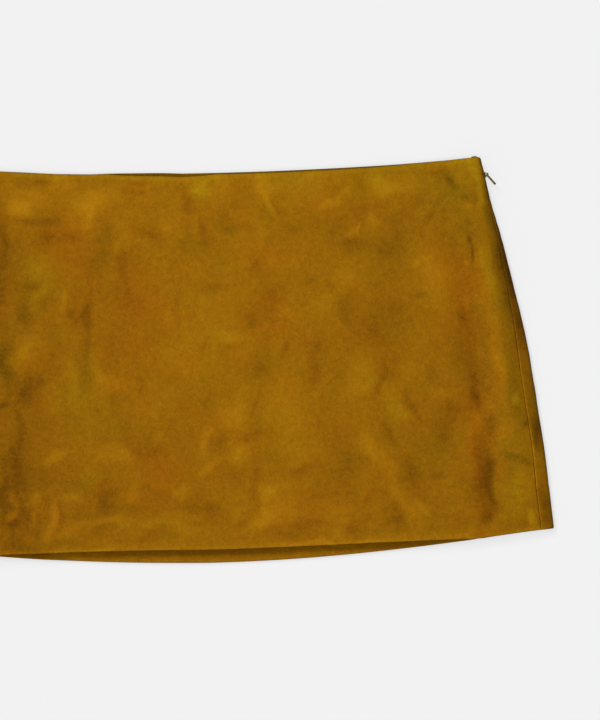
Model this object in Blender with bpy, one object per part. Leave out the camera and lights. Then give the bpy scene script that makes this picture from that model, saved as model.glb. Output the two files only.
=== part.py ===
"""A suede mini skirt with a low waist and a concealed side zip, laid flat with its front up.

Lengths below are in millimetres, and MM turns them into Blender's metres where a mesh is made.
The skirt's width runs along X with the zip at +X, the waist is at +Y, and the underside lies on Z = 0.
A row of the cloth is followed from a side fold: "along" counts millimetres of cloth from the fold's
outermost line, positive up and over the front, negative down and under the back.
"""

import math

import bpy
import numpy as np

MM = 0.001

# The cut, seen from above
SIDE_HEM_Y = -120.75
SIDE_LENGTH = 261.1
HEM_SAG = 20.0
HEM_FLATTENING = -0.216
WAIST_DIP = 8.2
WAIST_FLATTENING = 0.1
HEM_HALF_WIDTH = 250.0
WAIST_HALF_WIDTH = 203.4

# Slow waves of the two edges: the rise of both panels over a reach to either side of x
WAVE_COLUMNS = ("x", "reach", "rise")
HEM_WAVES = ((221.0, 30.0, 0.6), (-52.0, 62.0, 0.35))
WAIST_WAVES = ((-155.0, 62.0, 0.8), (-38.0, 34.0, 0.65), (40.0, 110.0, 0.3))

# How much the front falls short of the back at the hem and the waist
HEM_SHORT = 9.6
HEM_SHORT_REACH_ZIP_SIDE = 200.0
HEM_SHORT_REACH_PLAIN_SIDE = 150.0
WAIST_EDGE_SHORT = 0.3
WAIST_SHORT_WAVES = ((-22.0, 42.0, -1.4), (55.0, 122.0, -1.0))

# The folded corners of the waist are rounded
CORNER_ROUND = 2.6
CORNER_STEEPEST = 0.9
CORNER_REACH = 12.0

# Suede walls and turned edges
SUEDE = 1.2
TURNED_EDGE = 2.2
SKIVED_SEAM = 1.6
HEM_TURN = 20.0
WAIST_TURN = 20.0
SEAM_ALLOWANCE = 10.0
STEP_RUN = 0.8
EDGE_ROUND = 1.1
LIP_ROUND = 0.8
SEAM_GAP = 0.3
EDGE_NOSE = 0.2

# Height of the lying cloth over its middle
MIDDLE_HEIGHT = 4.0
HEM_LIFT = 3.6
HEM_LIFT_REACH = 62.0
WAIST_LIFT = 1.8
WAIST_LIFT_REACH = 75.0
WAIST_DROP = 0.7
WAIST_DROP_REACH = 18.0
SHOULDER_REACH = 24.0
RELIEF_FREE_EDGE = 12.0

# One row for each section, from the hem up to the waist. The fold's power is that of its upper
# quarter across the skirt, where 2 is an ellipse and less is a flatter slope.
SECTION_COLUMNS = (
    "share", "half_width", "fold_height", "fold_depth", "fold_power", "edge_height", "seam_rise",
)
SECTIONS = (
    (0.00, 250.3, 7.2, 9.0, 1.4, 3.2, 10.3),
    (0.11, 247.4, 7.9, 10.5, 1.4, 4.0, 10.2),
    (0.20, 244.9, 9.4, 16.0, 1.35, 3.6, 9.8),
    (0.29, 241.7, 10.6, 20.0, 1.35, 3.1, 9.9),
    (0.40, 238.0, 10.6, 18.5, 1.35, 3.1, 10.3),
    (0.55, 231.3, 11.0, 16.0, 1.35, 3.1, 8.6),
    (0.67, 224.1, 11.0, 12.8, 1.4, 3.7, 6.6),
    (0.80, 215.9, 11.2, 9.2, 1.5, 4.5, 4.6),
    (0.88, 210.0, 11.1, 7.4, 1.9, 5.2, 2.8),
    (0.94, 206.6, 11.0, 7.0, 2.5, 5.5, 0.0),
    (1.00, 203.4, 10.8, 7.0, 3.2, 5.4, 0.0),
)

# Soft folds of the front: middle, half length, half width, turn from +Y towards -X, and rise
FOLD_COLUMNS = ("x", "y", "half_length", "half_width", "turn", "rise")
SOFT_FOLDS = (
    (205.0, -22.0, 115.0, 8.0, 4.0, -1.2),
    (181.0, -18.0, 105.0, 11.0, 4.0, 0.6),
    (-134.0, -48.0, 90.0, 11.0, -2.0, -0.55),
    (-112.0, -30.0, 95.0, 10.0, -1.0, 0.4),
    (-201.0, -15.0, 95.0, 9.0, -4.0, -0.75),
    (-73.0, 34.0, 24.0, 5.0, 0.0, -0.4),
    (24.0, -40.0, 32.0, 9.0, -32.0, 0.45),
    (128.0, -62.0, 38.0, 8.0, 30.0, 0.4),
    (52.0, 112.0, 30.0, 8.0, 14.0, 0.35),
    (64.0, -86.0, 30.0, 12.0, -70.0, 0.35),
)

# Concealed zip in the seam at +X
ZIP_LENGTH = 145.0
TAPE_THICKNESS = 0.7
TAPE_WIDTH = 9.0
TAPE_CLEARANCE = 0.45
TAPE_ABOVE_WAIST = 0.4
TAPE_SET_BACK = 0.5
SLIDER_SHARE = 0.9505
SLIDER_PARTING = 1.35
PARTING_REACH_UP = 5.0
PARTING_REACH_DOWN = 9.0
SLIDER_TURN = math.radians(10.5)

# Slider, outwards from the fold's outermost line
BODY_LENGTH = 7.6
BODY_BACK = -6.0
BODY_SHOULDER = -4.9
BODY_FACE = -3.2
BODY_HALF_HEIGHT = 1.9
BODY_FACE_HALF_HEIGHT = 0.6
NECK_LENGTH = 3.0
NECK_HALF_HEIGHT = 0.5
CROWN_PLATE_FACE = 0.25
CROWN_PLATE_THICKNESS = 0.4
CROWN_PLATE_LENGTH = 4.4
CROWN_PLATE_HALF_HEIGHT = 1.3
ARCH_INNER_RADIUS = 0.8
ARCH_OUTER_RADIUS = 1.4
ARCH_HALF_HEIGHT = 0.7
ARCH_STEPS = 12
HINGE_OUT = 1.4
OVERLAP = 0.2

# Pull tab, from its hinge
PULL_REST_ANGLE = math.radians(-49.0)
PULL_BAR_RADIUS = 0.45
PULL_BAR_HALF_LENGTH = 1.6
PULL_HALF_THICKNESS = 0.6
PULL_WINDOW_END = 1.9
PULL_WINDOW_HALF_HEIGHT = 1.1
PULL_ARMS_HALF_HEIGHT = 2.0
PULL_WAIST_X = 3.6
PULL_WAIST_HALF_HEIGHT = 1.6
PULL_END_X = 7.3
PULL_END_HALF_HEIGHT = 2.2
PULL_TIP_X = 9.4
PULL_TIP_STEPS = 10
BAR_SIDES = 24

# Mesh steps: distances from an edge, then even steps over the rest
HEM_ROWS = (0.0, 0.35, EDGE_ROUND, 7.0, 14.0, HEM_TURN, HEM_TURN + STEP_RUN)
WAIST_ROWS = (0.0, 0.35, EDGE_ROUND, 4.5, 8.5, 12.9, 16.5, WAIST_TURN, WAIST_TURN + STEP_RUN, 34.0)
MIDDLE_ROWS = 7
SEAM_COLUMNS = (0.0, 0.3, LIP_ROUND, 2.5, 4.5, 6.5, 8.5, SEAM_ALLOWANCE, SEAM_ALLOWANCE + STEP_RUN)
BACK_FOLD_COLUMNS = SEAM_COLUMNS + (12.0, 13.2, 14.4, 15.6, 17.0, 19.0, 22.0, 26.0)
FRONT_FOLD_COLUMNS = SEAM_COLUMNS + (13.5, 17.0, 21.0, 25.0, 29.0, 34.0, 40.0, 48.0, 58.0)
BACK_MIDDLE_COLUMNS = 11
FRONT_MIDDLE_COLUMNS = 8
TAPE_COLUMNS = 5
ARC_SAMPLES = 200
ROUND_POWER = 2.0


def clear_scene():
    for obj in list(bpy.data.objects):
        bpy.data.objects.remove(obj, do_unlink=True)


def material(name, colour, roughness, metallic=0.0):
    made = bpy.data.materials.new(name)
    made.use_nodes = True
    shader = made.node_tree.nodes["Principled BSDF"]
    shader.inputs["Base Color"].default_value = (*colour, 1.0)
    shader.inputs["Roughness"].default_value = roughness
    shader.inputs["Metallic"].default_value = metallic
    return made


def mesh_object(name, points, faces, finish):
    """A new object from points in millimetres."""
    mesh = bpy.data.meshes.new(name)
    mesh.from_pydata((np.asarray(points) * MM).tolist(), [], faces)
    mesh.update()
    mesh.materials.append(finish)
    made = bpy.data.objects.new(name, mesh)
    bpy.context.scene.collection.objects.link(made)
    return made


# ---- The cloth's course ----


def section_value(column, share):
    """A column of SECTIONS at any share of the side's length, on a smooth curve through its rows."""
    rows = np.array(SECTIONS)
    shares = rows[:, 0]
    values = rows[:, SECTION_COLUMNS.index(column)]
    slopes = np.gradient(values, shares)
    share = np.clip(share, 0.0, 1.0)
    low = np.clip(np.searchsorted(shares, share, side="right") - 1, 0, len(shares) - 2)
    run = shares[low + 1] - shares[low]
    t = (share - shares[low]) / run
    smooth = (
        (2 * t**3 - 3 * t**2 + 1) * values[low]
        + (t**3 - 2 * t**2 + t) * run * slopes[low]
        + (3 * t**2 - 2 * t**3) * values[low + 1]
        + (t**3 - t**2) * run * slopes[low + 1]
    )
    between = np.minimum(values[low], values[low + 1]), np.maximum(values[low], values[low + 1])
    return np.clip(smooth, *between)


def bow(across, flattening):
    """0 at the centre and 1 at either side, following an arc."""
    return (1 - flattening) * across**2 + flattening * across**4


def hump(distance):
    """1 at 0, falling softly to 0 at 1 and beyond."""
    return np.clip(1 - distance**2, 0, None) ** 2


def plateau(distance):
    """1 over the middle, falling to 0 at 1 and beyond."""
    return np.clip(1 - distance**4, 0, None) ** 2


def ease(distance):
    """1 up to 0, then half a wave down to 0 at 1."""
    return 0.5 + 0.5 * np.cos(math.pi * np.clip(distance, 0, 1))


def waves(rows, x):
    """Sum of the rises of an edge's waves."""
    total = np.zeros_like(x)
    for row in rows:
        wave = dict(zip(WAVE_COLUMNS, row))
        total += wave["rise"] * plateau((x - wave["x"]) / wave["reach"])
    return total


def back_lines(across):
    """The y of the back's hem and waist at a share of the half width."""
    hem = SIDE_HEM_Y - HEM_SAG + HEM_SAG * bow(across, HEM_FLATTENING)
    waist = SIDE_HEM_Y + SIDE_LENGTH - WAIST_DIP + WAIST_DIP * bow(across, WAIST_FLATTENING)
    hem = hem + waves(HEM_WAVES, across * HEM_HALF_WIDTH)
    return hem, waist + waves(WAIST_WAVES, across * WAIST_HALF_WIDTH)


def front_lines(across):
    """The same for the front, which falls a little short of the back at both edges."""
    hem, waist = back_lines(across)
    x = across * HEM_HALF_WIDTH
    reach = np.where(x > 0, HEM_SHORT_REACH_ZIP_SIDE, HEM_SHORT_REACH_PLAIN_SIDE)
    power = np.where(x > 0, 2.5, 2.0)
    hem = hem + HEM_SHORT * np.clip(1 - np.abs(x / reach) ** power, 0, None)
    return hem, waist - WAIST_EDGE_SHORT + waves(WAIST_SHORT_WAVES, across * WAIST_HALF_WIDTH)


def corner_drop(from_side, share):
    """How far the folded corner of the waist is rounded down, on a quarter circle."""
    bend = np.clip(1 - from_side / CORNER_ROUND, 0, CORNER_STEEPEST)
    return CORNER_ROUND * (1 - np.sqrt(1 - bend**2)) * ease((1 - share) * SIDE_LENGTH / CORNER_REACH)


def soft_relief(x, y):
    """The low ridges and troughs of the front, each a long soft hump."""
    total = np.zeros_like(x)
    for row in SOFT_FOLDS:
        fold = dict(zip(FOLD_COLUMNS, row))
        turn = math.radians(fold["turn"])
        along = (y - fold["y"]) * math.cos(turn) - (x - fold["x"]) * math.sin(turn)
        across = (x - fold["x"]) * math.cos(turn) + (y - fold["y"]) * math.sin(turn)
        bell = np.exp(-((across / fold["half_width"]) ** 2))
        total += fold["rise"] * hump(along / fold["half_length"]) * bell
    return total


def front_height(x, y, share):
    """Height of the front's outer surface: the middle lies low, and rises to the side folds."""
    inside = section_value("half_width", share) - np.abs(x)
    past_fold = inside - section_value("fold_depth", share)
    from_hem = share * SIDE_LENGTH
    from_waist = (1 - share) * SIDE_LENGTH
    middle = MIDDLE_HEIGHT + HEM_LIFT * ease(from_hem / HEM_LIFT_REACH)
    middle = middle + WAIST_LIFT * ease((from_waist - WAIST_TURN) / WAIST_LIFT_REACH)
    middle = middle - WAIST_DROP * ease(from_waist / WAIST_DROP_REACH)
    shoulder = ease(past_fold / SHOULDER_REACH)
    height = middle + (section_value("fold_height", share) - middle) * shoulder
    relief = soft_relief(x, y) * (1 - ease(past_fold / RELIEF_FREE_EDGE))
    return height + relief


def quarter_fold(share, over_front):
    """Offsets inwards from the fold's outermost line and up from it, cloth lengths and normals.

    The lower quarter is a round that turns up from the floor. The upper one is a long superellipse.
    """
    edge = section_value("edge_height", share)
    depth = section_value("fold_depth", share) if over_front else edge
    rise = section_value("fold_height", share) - edge if over_front else edge
    shoulder = section_value("fold_power", share) if over_front else ROUND_POWER
    brow = (shoulder + ROUND_POWER) / 2
    angle = np.linspace(0, math.pi / 2, ARC_SAMPLES)
    across, up = np.cos(angle), np.sin(angle)
    inwards = depth * (1 - across ** (2 / shoulder))
    upwards = rise * up ** (2 / brow)
    normal_out = shoulder / depth * across ** (2 - 2 / shoulder)
    normal_up = brow / rise * up ** (2 - 2 / brow)
    size = np.hypot(normal_out, normal_up)
    length = np.concatenate([[0.0], np.cumsum(np.hypot(np.diff(inwards), np.diff(upwards)))])
    return inwards, upwards, length, normal_out / size, normal_up / size


def half_girth(share, over_front):
    """Cloth length from a side fold's outermost line to the centre."""
    inwards, _, length, _, _ = quarter_fold(share, over_front)
    return length[-1] + section_value("half_width", share) - inwards[-1]


def cloth_rows(along, shares, side, lines):
    """Outer points and inward directions on rows of cloth, each a list of "along" at one share."""
    points = np.zeros((*along.shape, 3))
    inward = np.zeros((*along.shape, 3))
    for row, share in enumerate(shares):
        half_width = section_value("half_width", share)
        for over_front in (True, False):
            here = (along[row] > 0) == over_front
            inwards, upwards, length, normal_out, normal_up = quarter_fold(share, over_front)
            up = 1.0 if over_front else -1.0
            reach = np.abs(along[row, here])
            hand = side[row, here]
            from_side = np.interp(reach, length, inwards) + np.clip(reach - length[-1], 0, None)
            x = hand * (half_width - from_side)
            hem, waist = lines(x / half_width)
            y = hem + (waist - hem) * share - corner_drop(from_side, share)
            level = front_height(x, y, share) if over_front else np.zeros_like(x)
            fold = section_value("edge_height", share) + up * np.interp(reach, length, upwards)
            z = np.where(reach < length[-1], fold, level)
            points[row, here] = np.stack([x, y, z], axis=-1)
            out = hand * np.interp(reach, length, normal_out)
            raised = up * np.interp(reach, length, normal_up)
            normal = np.stack([out, np.zeros_like(x), raised], axis=-1)
            inward[row, here] = -normal / np.linalg.norm(normal, axis=-1, keepdims=True)
    return points, inward


# ---- Walls ----


def row_shares():
    """Shares of the side's length: close rows at the turned edges and even steps between."""
    low = np.array(HEM_ROWS) / SIDE_LENGTH
    high = 1 - np.array(WAIST_ROWS[::-1]) / SIDE_LENGTH
    middle = np.linspace(low[-1], high[0], MIDDLE_ROWS + 2)[1:-1]
    return np.concatenate([low, middle, high])


def from_seam(near, count, half_length):
    """Distances from a seam to the centre: the fixed ones, then even steps."""
    return np.concatenate([near, np.linspace(near[-1], half_length, count + 1)[1:]])


def nose(distance, round_over):
    """Half of the wall's thickness, as a share, at a distance from an edge that is rounded over."""
    bend = np.clip(1 - np.asarray(distance) / round_over, 0, 1)
    return EDGE_NOSE + (0.5 - EDGE_NOSE) * np.sqrt(1 - bend**2)


def parting(share):
    """Half of the gap between the two sides of the zip, which the slider's neck holds open."""
    offset = (share - SLIDER_SHARE) * SIDE_LENGTH
    reach = np.where(offset > 0, PARTING_REACH_UP, PARTING_REACH_DOWN)
    return SEAM_GAP / 2 + (SLIDER_PARTING - SEAM_GAP / 2) * hump(offset / reach)


def wall_thickness(seam_distance, share):
    """Doubled where the hem and the waist are turned in, and skived to less in the seams."""
    from_hem = share * SIDE_LENGTH - HEM_TURN
    from_waist = (1 - share) * SIDE_LENGTH - WAIST_TURN
    turned = 1 - np.clip(np.minimum(from_hem, from_waist) / STEP_RUN, 0, 1)
    open_wall = SUEDE + (TURNED_EDGE - SUEDE) * turned
    clear_of_seam = np.clip((seam_distance - SEAM_ALLOWANCE) / STEP_RUN, 0, 1)
    return SKIVED_SEAM + (open_wall - SKIVED_SEAM) * clear_of_seam


def closed_wall(name, outer, inner, finish):
    """A closed mesh from two grids of points, joined round their edges."""
    rows, columns = outer.shape[:2]
    index = np.arange(rows * columns).reshape(rows, columns)
    other = index + rows * columns
    faces = []
    for grid, step in ((index, 1), (other, -1)):
        corners = np.stack([grid[:-1, :-1], grid[:-1, 1:], grid[1:, 1:], grid[1:, :-1]], axis=-1)
        faces += corners.reshape(-1, 4)[:, ::step].tolist()
    rim = np.concatenate([index[0, :], index[1:, -1], index[-1, -2::-1], index[-2:0:-1, 0]])
    for a, b in zip(rim, np.roll(rim, -1)):
        faces.append([int(b), int(a), int(a) + rows * columns, int(b) + rows * columns])
    points = np.concatenate([outer.reshape(-1, 3), inner.reshape(-1, 3)])
    made = mesh_object(name, points, faces, finish)
    made.data.shade_smooth()
    made.data.set_sharp_from_angle(angle=math.radians(40))
    return made


def panel(name, fold_columns, middle_columns, lines, finish, is_front):
    """A front or back panel from one seam round to the other."""
    shares = row_shares()
    distances = []
    along = []
    sides = []
    for share in shares:
        seam = section_value("seam_rise", share)
        girth = half_girth(share, is_front)
        plain = SEAM_GAP / 2
        zipped = parting(share)
        halves = []
        for gap in (plain, zipped):
            length = girth - seam - gap if is_front else girth + seam - gap
            distance = from_seam(fold_columns, middle_columns, length)
            halves.append((distance, seam + gap + distance if is_front else seam - gap - distance))
        left, right = halves
        distances.append(np.concatenate([left[0], right[0][-2::-1]]))
        along.append(np.concatenate([left[1], right[1][-2::-1]]))
        sides.append(np.concatenate([-np.ones(len(left[0])), np.ones(len(right[0]) - 1)]))
    distances = np.array(distances)
    outer, inward = cloth_rows(np.array(along), shares, np.array(sides), lines)
    share_grid = np.repeat(shares[:, None], distances.shape[1], axis=1)
    thickness = wall_thickness(distances, share_grid)
    from_edge = np.minimum(share_grid, 1 - share_grid) * SIDE_LENGTH
    half = nose(from_edge, EDGE_ROUND) * nose(distances, LIP_ROUND) * 2
    outer_points = outer + inward * (thickness * (0.5 - half))[..., None]
    inner_points = outer + inward * (thickness * (0.5 + half))[..., None]
    if not is_front:
        outer_points, inner_points = outer_points[::-1], inner_points[::-1]
    return closed_wall(name, outer_points, inner_points, finish)


def zip_tape(name, finish, is_front):
    """One half of the zip: a flat tape that follows the seam allowance on its inner side."""
    shares = row_shares()
    start = 1 - ZIP_LENGTH / SIDE_LENGTH
    top = 1 + TAPE_ABOVE_WAIST / SIDE_LENGTH
    inside = shares[(shares > start) & (shares < top - 1 / SIDE_LENGTH)]
    shares = np.concatenate([[start], inside, [top]])
    spread = np.linspace(0, TAPE_WIDTH, TAPE_COLUMNS)
    seam = section_value("seam_rise", shares)[:, None]
    gap = parting(shares)[:, None] + TAPE_SET_BACK
    along = seam + gap + spread if is_front else seam - gap - spread
    outer, inward = cloth_rows(along, shares, np.ones_like(along), back_lines)
    near = SKIVED_SEAM + TAPE_CLEARANCE
    outer_points = outer + inward * near
    inner_points = outer + inward * (near + TAPE_THICKNESS)
    if is_front:
        outer_points, inner_points = outer_points[::-1], inner_points[::-1]
    return closed_wall(name, outer_points, inner_points, finish)


# ---- Slider and pull ----


def extruded(name, outline, low, high, finish, axis="Z"):
    """A prism on an outline, extruded along Z, or along Y with the outline in X and Z."""
    count = len(outline)
    levels = []
    for level in (low, high):
        for u, w in outline:
            levels.append((u, w, level) if axis == "Z" else (u, level, w))
    faces = [list(range(count))[::-1], list(range(count, 2 * count))]
    for k in range(count):
        after = (k + 1) % count
        faces.append([k, after, after + count, k + count])
    if axis == "Y":
        faces = [face[::-1] for face in faces]
    return mesh_object(name, levels, faces, finish)


def join_in(target, piece):
    """Adds a helper to the target with a Boolean union and keeps the helper out of the render."""
    piece.hide_render = True
    piece.display_type = "WIRE"
    piece.parent = target
    union = target.modifiers.new(piece.name, "BOOLEAN")
    union.operation = "UNION"
    union.object = piece


def box_outline(low_u, high_u, low_w, high_w):
    return [(low_u, low_w), (high_u, low_w), (high_u, high_w), (low_u, high_w)]


def slider_place():
    """The point of the seam that the slider's neck goes through."""
    shares = np.array([SLIDER_SHARE])
    along = section_value("seam_rise", shares)[:, None]
    points, _ = cloth_rows(along, shares, np.ones((1, 1)), back_lines)
    return points[0, 0]


def arch_points(radius):
    """Half a circle round the hinge, bulging outwards."""
    angles = np.linspace(-math.pi / 2, math.pi / 2, ARCH_STEPS + 1)
    return [(HINGE_OUT + radius * math.cos(t), radius * math.sin(t)) for t in angles]


def zip_slider(finish):
    """Body inside the fold, a neck through the seam, and a crown plate with an arch outside."""
    half = BODY_LENGTH / 2
    section = [
        (BODY_BACK, -BODY_HALF_HEIGHT),
        (BODY_SHOULDER, -BODY_HALF_HEIGHT),
        (BODY_FACE, -BODY_FACE_HALF_HEIGHT),
        (BODY_FACE, BODY_FACE_HALF_HEIGHT),
        (BODY_SHOULDER, BODY_HALF_HEIGHT),
        (BODY_BACK, BODY_HALF_HEIGHT),
    ]
    slider = extruded("zip_slider", section, -half, half, finish, axis="Y")
    neck_end = CROWN_PLATE_FACE + OVERLAP
    neck_outline = box_outline(BODY_FACE - OVERLAP, neck_end, -NECK_LENGTH / 2, NECK_LENGTH / 2)
    join_in(slider, extruded("slider_neck", neck_outline, -NECK_HALF_HEIGHT, NECK_HALF_HEIGHT, finish))
    plate_top = CROWN_PLATE_FACE + CROWN_PLATE_THICKNESS
    plate_half = CROWN_PLATE_LENGTH / 2
    plate_outline = box_outline(CROWN_PLATE_FACE, plate_top, -plate_half, plate_half)
    height = CROWN_PLATE_HALF_HEIGHT
    join_in(slider, extruded("slider_plate", plate_outline, -height, height, finish))
    foot = plate_top - OVERLAP
    outline = [(foot, -ARCH_OUTER_RADIUS)] + arch_points(ARCH_OUTER_RADIUS)
    outline += [(foot, ARCH_OUTER_RADIUS), (foot, ARCH_INNER_RADIUS)]
    outline += arch_points(ARCH_INNER_RADIUS)[::-1] + [(foot, -ARCH_INNER_RADIUS)]
    join_in(slider, extruded("slider_arch", outline, -ARCH_HALF_HEIGHT, ARCH_HALF_HEIGHT, finish))
    slider.location = slider_place() * MM
    slider.rotation_euler.z = SLIDER_TURN
    return slider


def zip_pull(finish):
    """A flat tab that swings on a round bar under the slider's arch."""
    tip = [(PULL_END_X, -PULL_END_HALF_HEIGHT)]
    for t in np.linspace(-math.pi / 2, math.pi / 2, PULL_TIP_STEPS + 1)[1:-1]:
        reach = PULL_END_X + (PULL_TIP_X - PULL_END_X) * math.cos(t)
        tip.append((reach, PULL_END_HALF_HEIGHT * math.sin(t)))
    tip.append((PULL_END_X, PULL_END_HALF_HEIGHT))
    outline = [(0.0, -PULL_ARMS_HALF_HEIGHT), (PULL_WINDOW_END, -PULL_ARMS_HALF_HEIGHT)]
    outline += [(PULL_WAIST_X, -PULL_WAIST_HALF_HEIGHT)] + tip + [(PULL_WAIST_X, PULL_WAIST_HALF_HEIGHT)]
    outline += [(PULL_WINDOW_END, PULL_ARMS_HALF_HEIGHT), (0.0, PULL_ARMS_HALF_HEIGHT)]
    outline += [(0.0, PULL_WINDOW_HALF_HEIGHT), (PULL_WINDOW_END, PULL_WINDOW_HALF_HEIGHT)]
    outline += [(PULL_WINDOW_END, -PULL_WINDOW_HALF_HEIGHT), (0.0, -PULL_WINDOW_HALF_HEIGHT)]
    pull = extruded("zip_pull", outline, -PULL_HALF_THICKNESS, PULL_HALF_THICKNESS, finish, axis="Y")
    turns = (np.arange(BAR_SIDES) + 0.5) * 2 * math.pi / BAR_SIDES
    bar = [(PULL_BAR_RADIUS * math.cos(t), PULL_BAR_RADIUS * math.sin(t)) for t in turns]
    join_in(pull, extruded("pull_bar", bar, -PULL_BAR_HALF_LENGTH, PULL_BAR_HALF_LENGTH, finish))
    outwards = np.array([math.cos(SLIDER_TURN), math.sin(SLIDER_TURN), 0.0])
    pull.location = (slider_place() + HINGE_OUT * outwards) * MM
    pull.rotation_euler.z = PULL_REST_ANGLE
    return pull


clear_scene()
suede = material("tan_suede", (0.28, 0.115, 0.004), 0.95)
tape_weave = material("brown_zip_tape", (0.05, 0.03, 0.01), 0.9)
zip_metal = material("aged_zip_metal", (0.2, 0.17, 0.11), 0.45, 1.0)
panel("back_panel", BACK_FOLD_COLUMNS, BACK_MIDDLE_COLUMNS, back_lines, suede, is_front=False)
panel("front_panel", FRONT_FOLD_COLUMNS, FRONT_MIDDLE_COLUMNS, front_lines, suede, is_front=True)
zip_tape("zip_tape_front", tape_weave, is_front=True)
zip_tape("zip_tape_back", tape_weave, is_front=False)
zip_slider(zip_metal)
zip_pull(zip_metal)
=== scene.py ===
import math

import bmesh
import bpy
import numpy as np
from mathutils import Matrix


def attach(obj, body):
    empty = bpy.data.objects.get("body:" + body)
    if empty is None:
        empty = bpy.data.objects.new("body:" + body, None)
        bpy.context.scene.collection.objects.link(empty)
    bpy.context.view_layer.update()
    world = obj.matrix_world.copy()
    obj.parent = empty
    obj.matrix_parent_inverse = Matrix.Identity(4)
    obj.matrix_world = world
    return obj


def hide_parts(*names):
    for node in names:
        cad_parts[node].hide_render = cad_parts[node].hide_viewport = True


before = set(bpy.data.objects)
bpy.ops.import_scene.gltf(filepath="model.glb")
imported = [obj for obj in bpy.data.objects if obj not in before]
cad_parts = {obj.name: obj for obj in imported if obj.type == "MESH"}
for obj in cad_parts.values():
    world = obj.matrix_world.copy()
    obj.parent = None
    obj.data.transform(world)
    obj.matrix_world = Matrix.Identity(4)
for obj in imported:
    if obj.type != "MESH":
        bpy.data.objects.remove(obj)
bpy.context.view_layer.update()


# ---- Back panel ----
# One piece of suede, cut wider than the front so that its sides come round onto the front.
# It lies on the floor with its hem and waist turned in and glued, and its hem peeps out below the front.

# Lengths are in millimetres. "Share" runs up the side seam from 0 at the hem to 1 at the waist, and
# "along" follows the cloth from a side fold's outermost line, positive over the front.
MM = 0.001

# The cut, seen from above: the side seam's lower end and length, and the bows of the hem and the waist
SIDE_HEM_Y = -120.75
SIDE_LENGTH = 261.1
HEM_SAG = 20.0
HEM_FLATTENING = -0.216
WAIST_DIP = 8.2
WAIST_FLATTENING = 0.1
HEM_HALF_WIDTH = 250.0
WAIST_HALF_WIDTH = 203.4

# Slow waves of the two edges: the rise of both panels over a reach to either side of x
WAVE_COLUMNS = ("x", "reach", "rise")
HEM_WAVES = ((221.0, 30.0, 0.6), (-52.0, 62.0, 0.35))
WAIST_WAVES = ((-155.0, 62.0, 0.8), (-38.0, 34.0, 0.65), (40.0, 110.0, 0.3))

# The folded corners of the waist are rounded
CORNER_ROUND = 2.6
CORNER_STEEPEST = 0.9
CORNER_REACH = 12.0

# The fold's power is that of its upper quarter across the skirt: 2 is an ellipse, less is a flatter slope
SECTION_COLUMNS = (
    "share", "half_width", "fold_height", "fold_depth", "fold_power", "edge_height", "seam_rise",
)
SECTIONS = (
    (0.00, 250.3, 7.2, 9.0, 1.4, 3.2, 10.3),
    (0.11, 247.4, 7.9, 10.5, 1.4, 4.0, 10.2),
    (0.20, 244.9, 9.4, 16.0, 1.35, 3.6, 9.8),
    (0.29, 241.7, 10.6, 20.0, 1.35, 3.1, 9.9),
    (0.40, 238.0, 10.6, 18.5, 1.35, 3.1, 10.3),
    (0.55, 231.3, 11.0, 16.0, 1.35, 3.1, 8.6),
    (0.67, 224.1, 11.0, 12.8, 1.4, 3.7, 6.6),
    (0.80, 215.9, 11.2, 9.2, 1.5, 4.5, 4.6),
    (0.88, 210.0, 11.1, 7.4, 1.9, 5.2, 2.8),
    (0.94, 206.6, 11.0, 7.0, 2.5, 5.5, 0.0),
    (1.00, 203.4, 10.8, 7.0, 3.2, 5.4, 0.0),
)

# Thickness of the suede, alone, turned in and skived, and how far its edges are rounded
SUEDE = 1.2
TURNED_EDGE = 2.2
SKIVED_SEAM = 1.6
HEM_TURN = 20.0
WAIST_TURN = 20.0
SEAM_ALLOWANCE = 10.0
STEP_RUN = 1.5
EDGE_ROUND = 1.1
LIP_ROUND = 0.6
EDGE_NOSE = 0.06

# The seam's two lips lie close together, and the slider's neck parts them
SEAM_GAP = 0.16
SLIDER_SHARE = 0.9505
SLIDER_PARTING = 1.35
PARTING_REACH_UP = 5.0
PARTING_REACH_DOWN = 9.0

# Rows and columns of the grids, close together at the edges and in the folds
EDGE_ROWS = np.array([0.0, 0.08, 0.22, 0.42, 0.7, 1.1, 1.7, 2.6, 3.8])
MIDDLE_ROWS = 132
LIP_COLUMNS = np.array([0.0, 0.06, 0.16, 0.32, 0.54, 0.8, 1.2, 1.8, 2.5])
BACK_FOLD_COLUMNS = np.concatenate([LIP_COLUMNS, np.arange(3.4, 25.0, 0.9)])
BACK_COLUMNS = 84
ARC_SAMPLES = 200
ROUND_POWER = 2.0


def section_value(column, share):
    """A column of SECTIONS at any share, on a smooth curve through its rows that never overshoots them."""
    rows = np.array(SECTIONS)
    shares = rows[:, 0]
    values = rows[:, SECTION_COLUMNS.index(column)]
    slopes = np.gradient(values, shares)
    share = np.clip(share, 0.0, 1.0)
    low = np.clip(np.searchsorted(shares, share, side="right") - 1, 0, len(shares) - 2)
    run = shares[low + 1] - shares[low]
    t = (share - shares[low]) / run
    smooth = (
        (2 * t**3 - 3 * t**2 + 1) * values[low]
        + (t**3 - 2 * t**2 + t) * run * slopes[low]
        + (3 * t**2 - 2 * t**3) * values[low + 1]
        + (t**3 - t**2) * run * slopes[low + 1]
    )
    between = np.minimum(values[low], values[low + 1]), np.maximum(values[low], values[low + 1])
    return np.clip(smooth, *between)


def bow(across, flattening):
    """0 at the centre and 1 at either side: a mix of the square and the fourth power."""
    return (1 - flattening) * across**2 + flattening * across**4


def hump(distance):
    """1 at 0 and 0 from 1 on: the square of one less the distance squared."""
    return np.clip(1 - distance**2, 0, None) ** 2


def ease(distance):
    """1 up to 0, then half a cosine wave down to 0 at 1."""
    return 0.5 + 0.5 * np.cos(math.pi * np.clip(distance, 0, 1))


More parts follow.
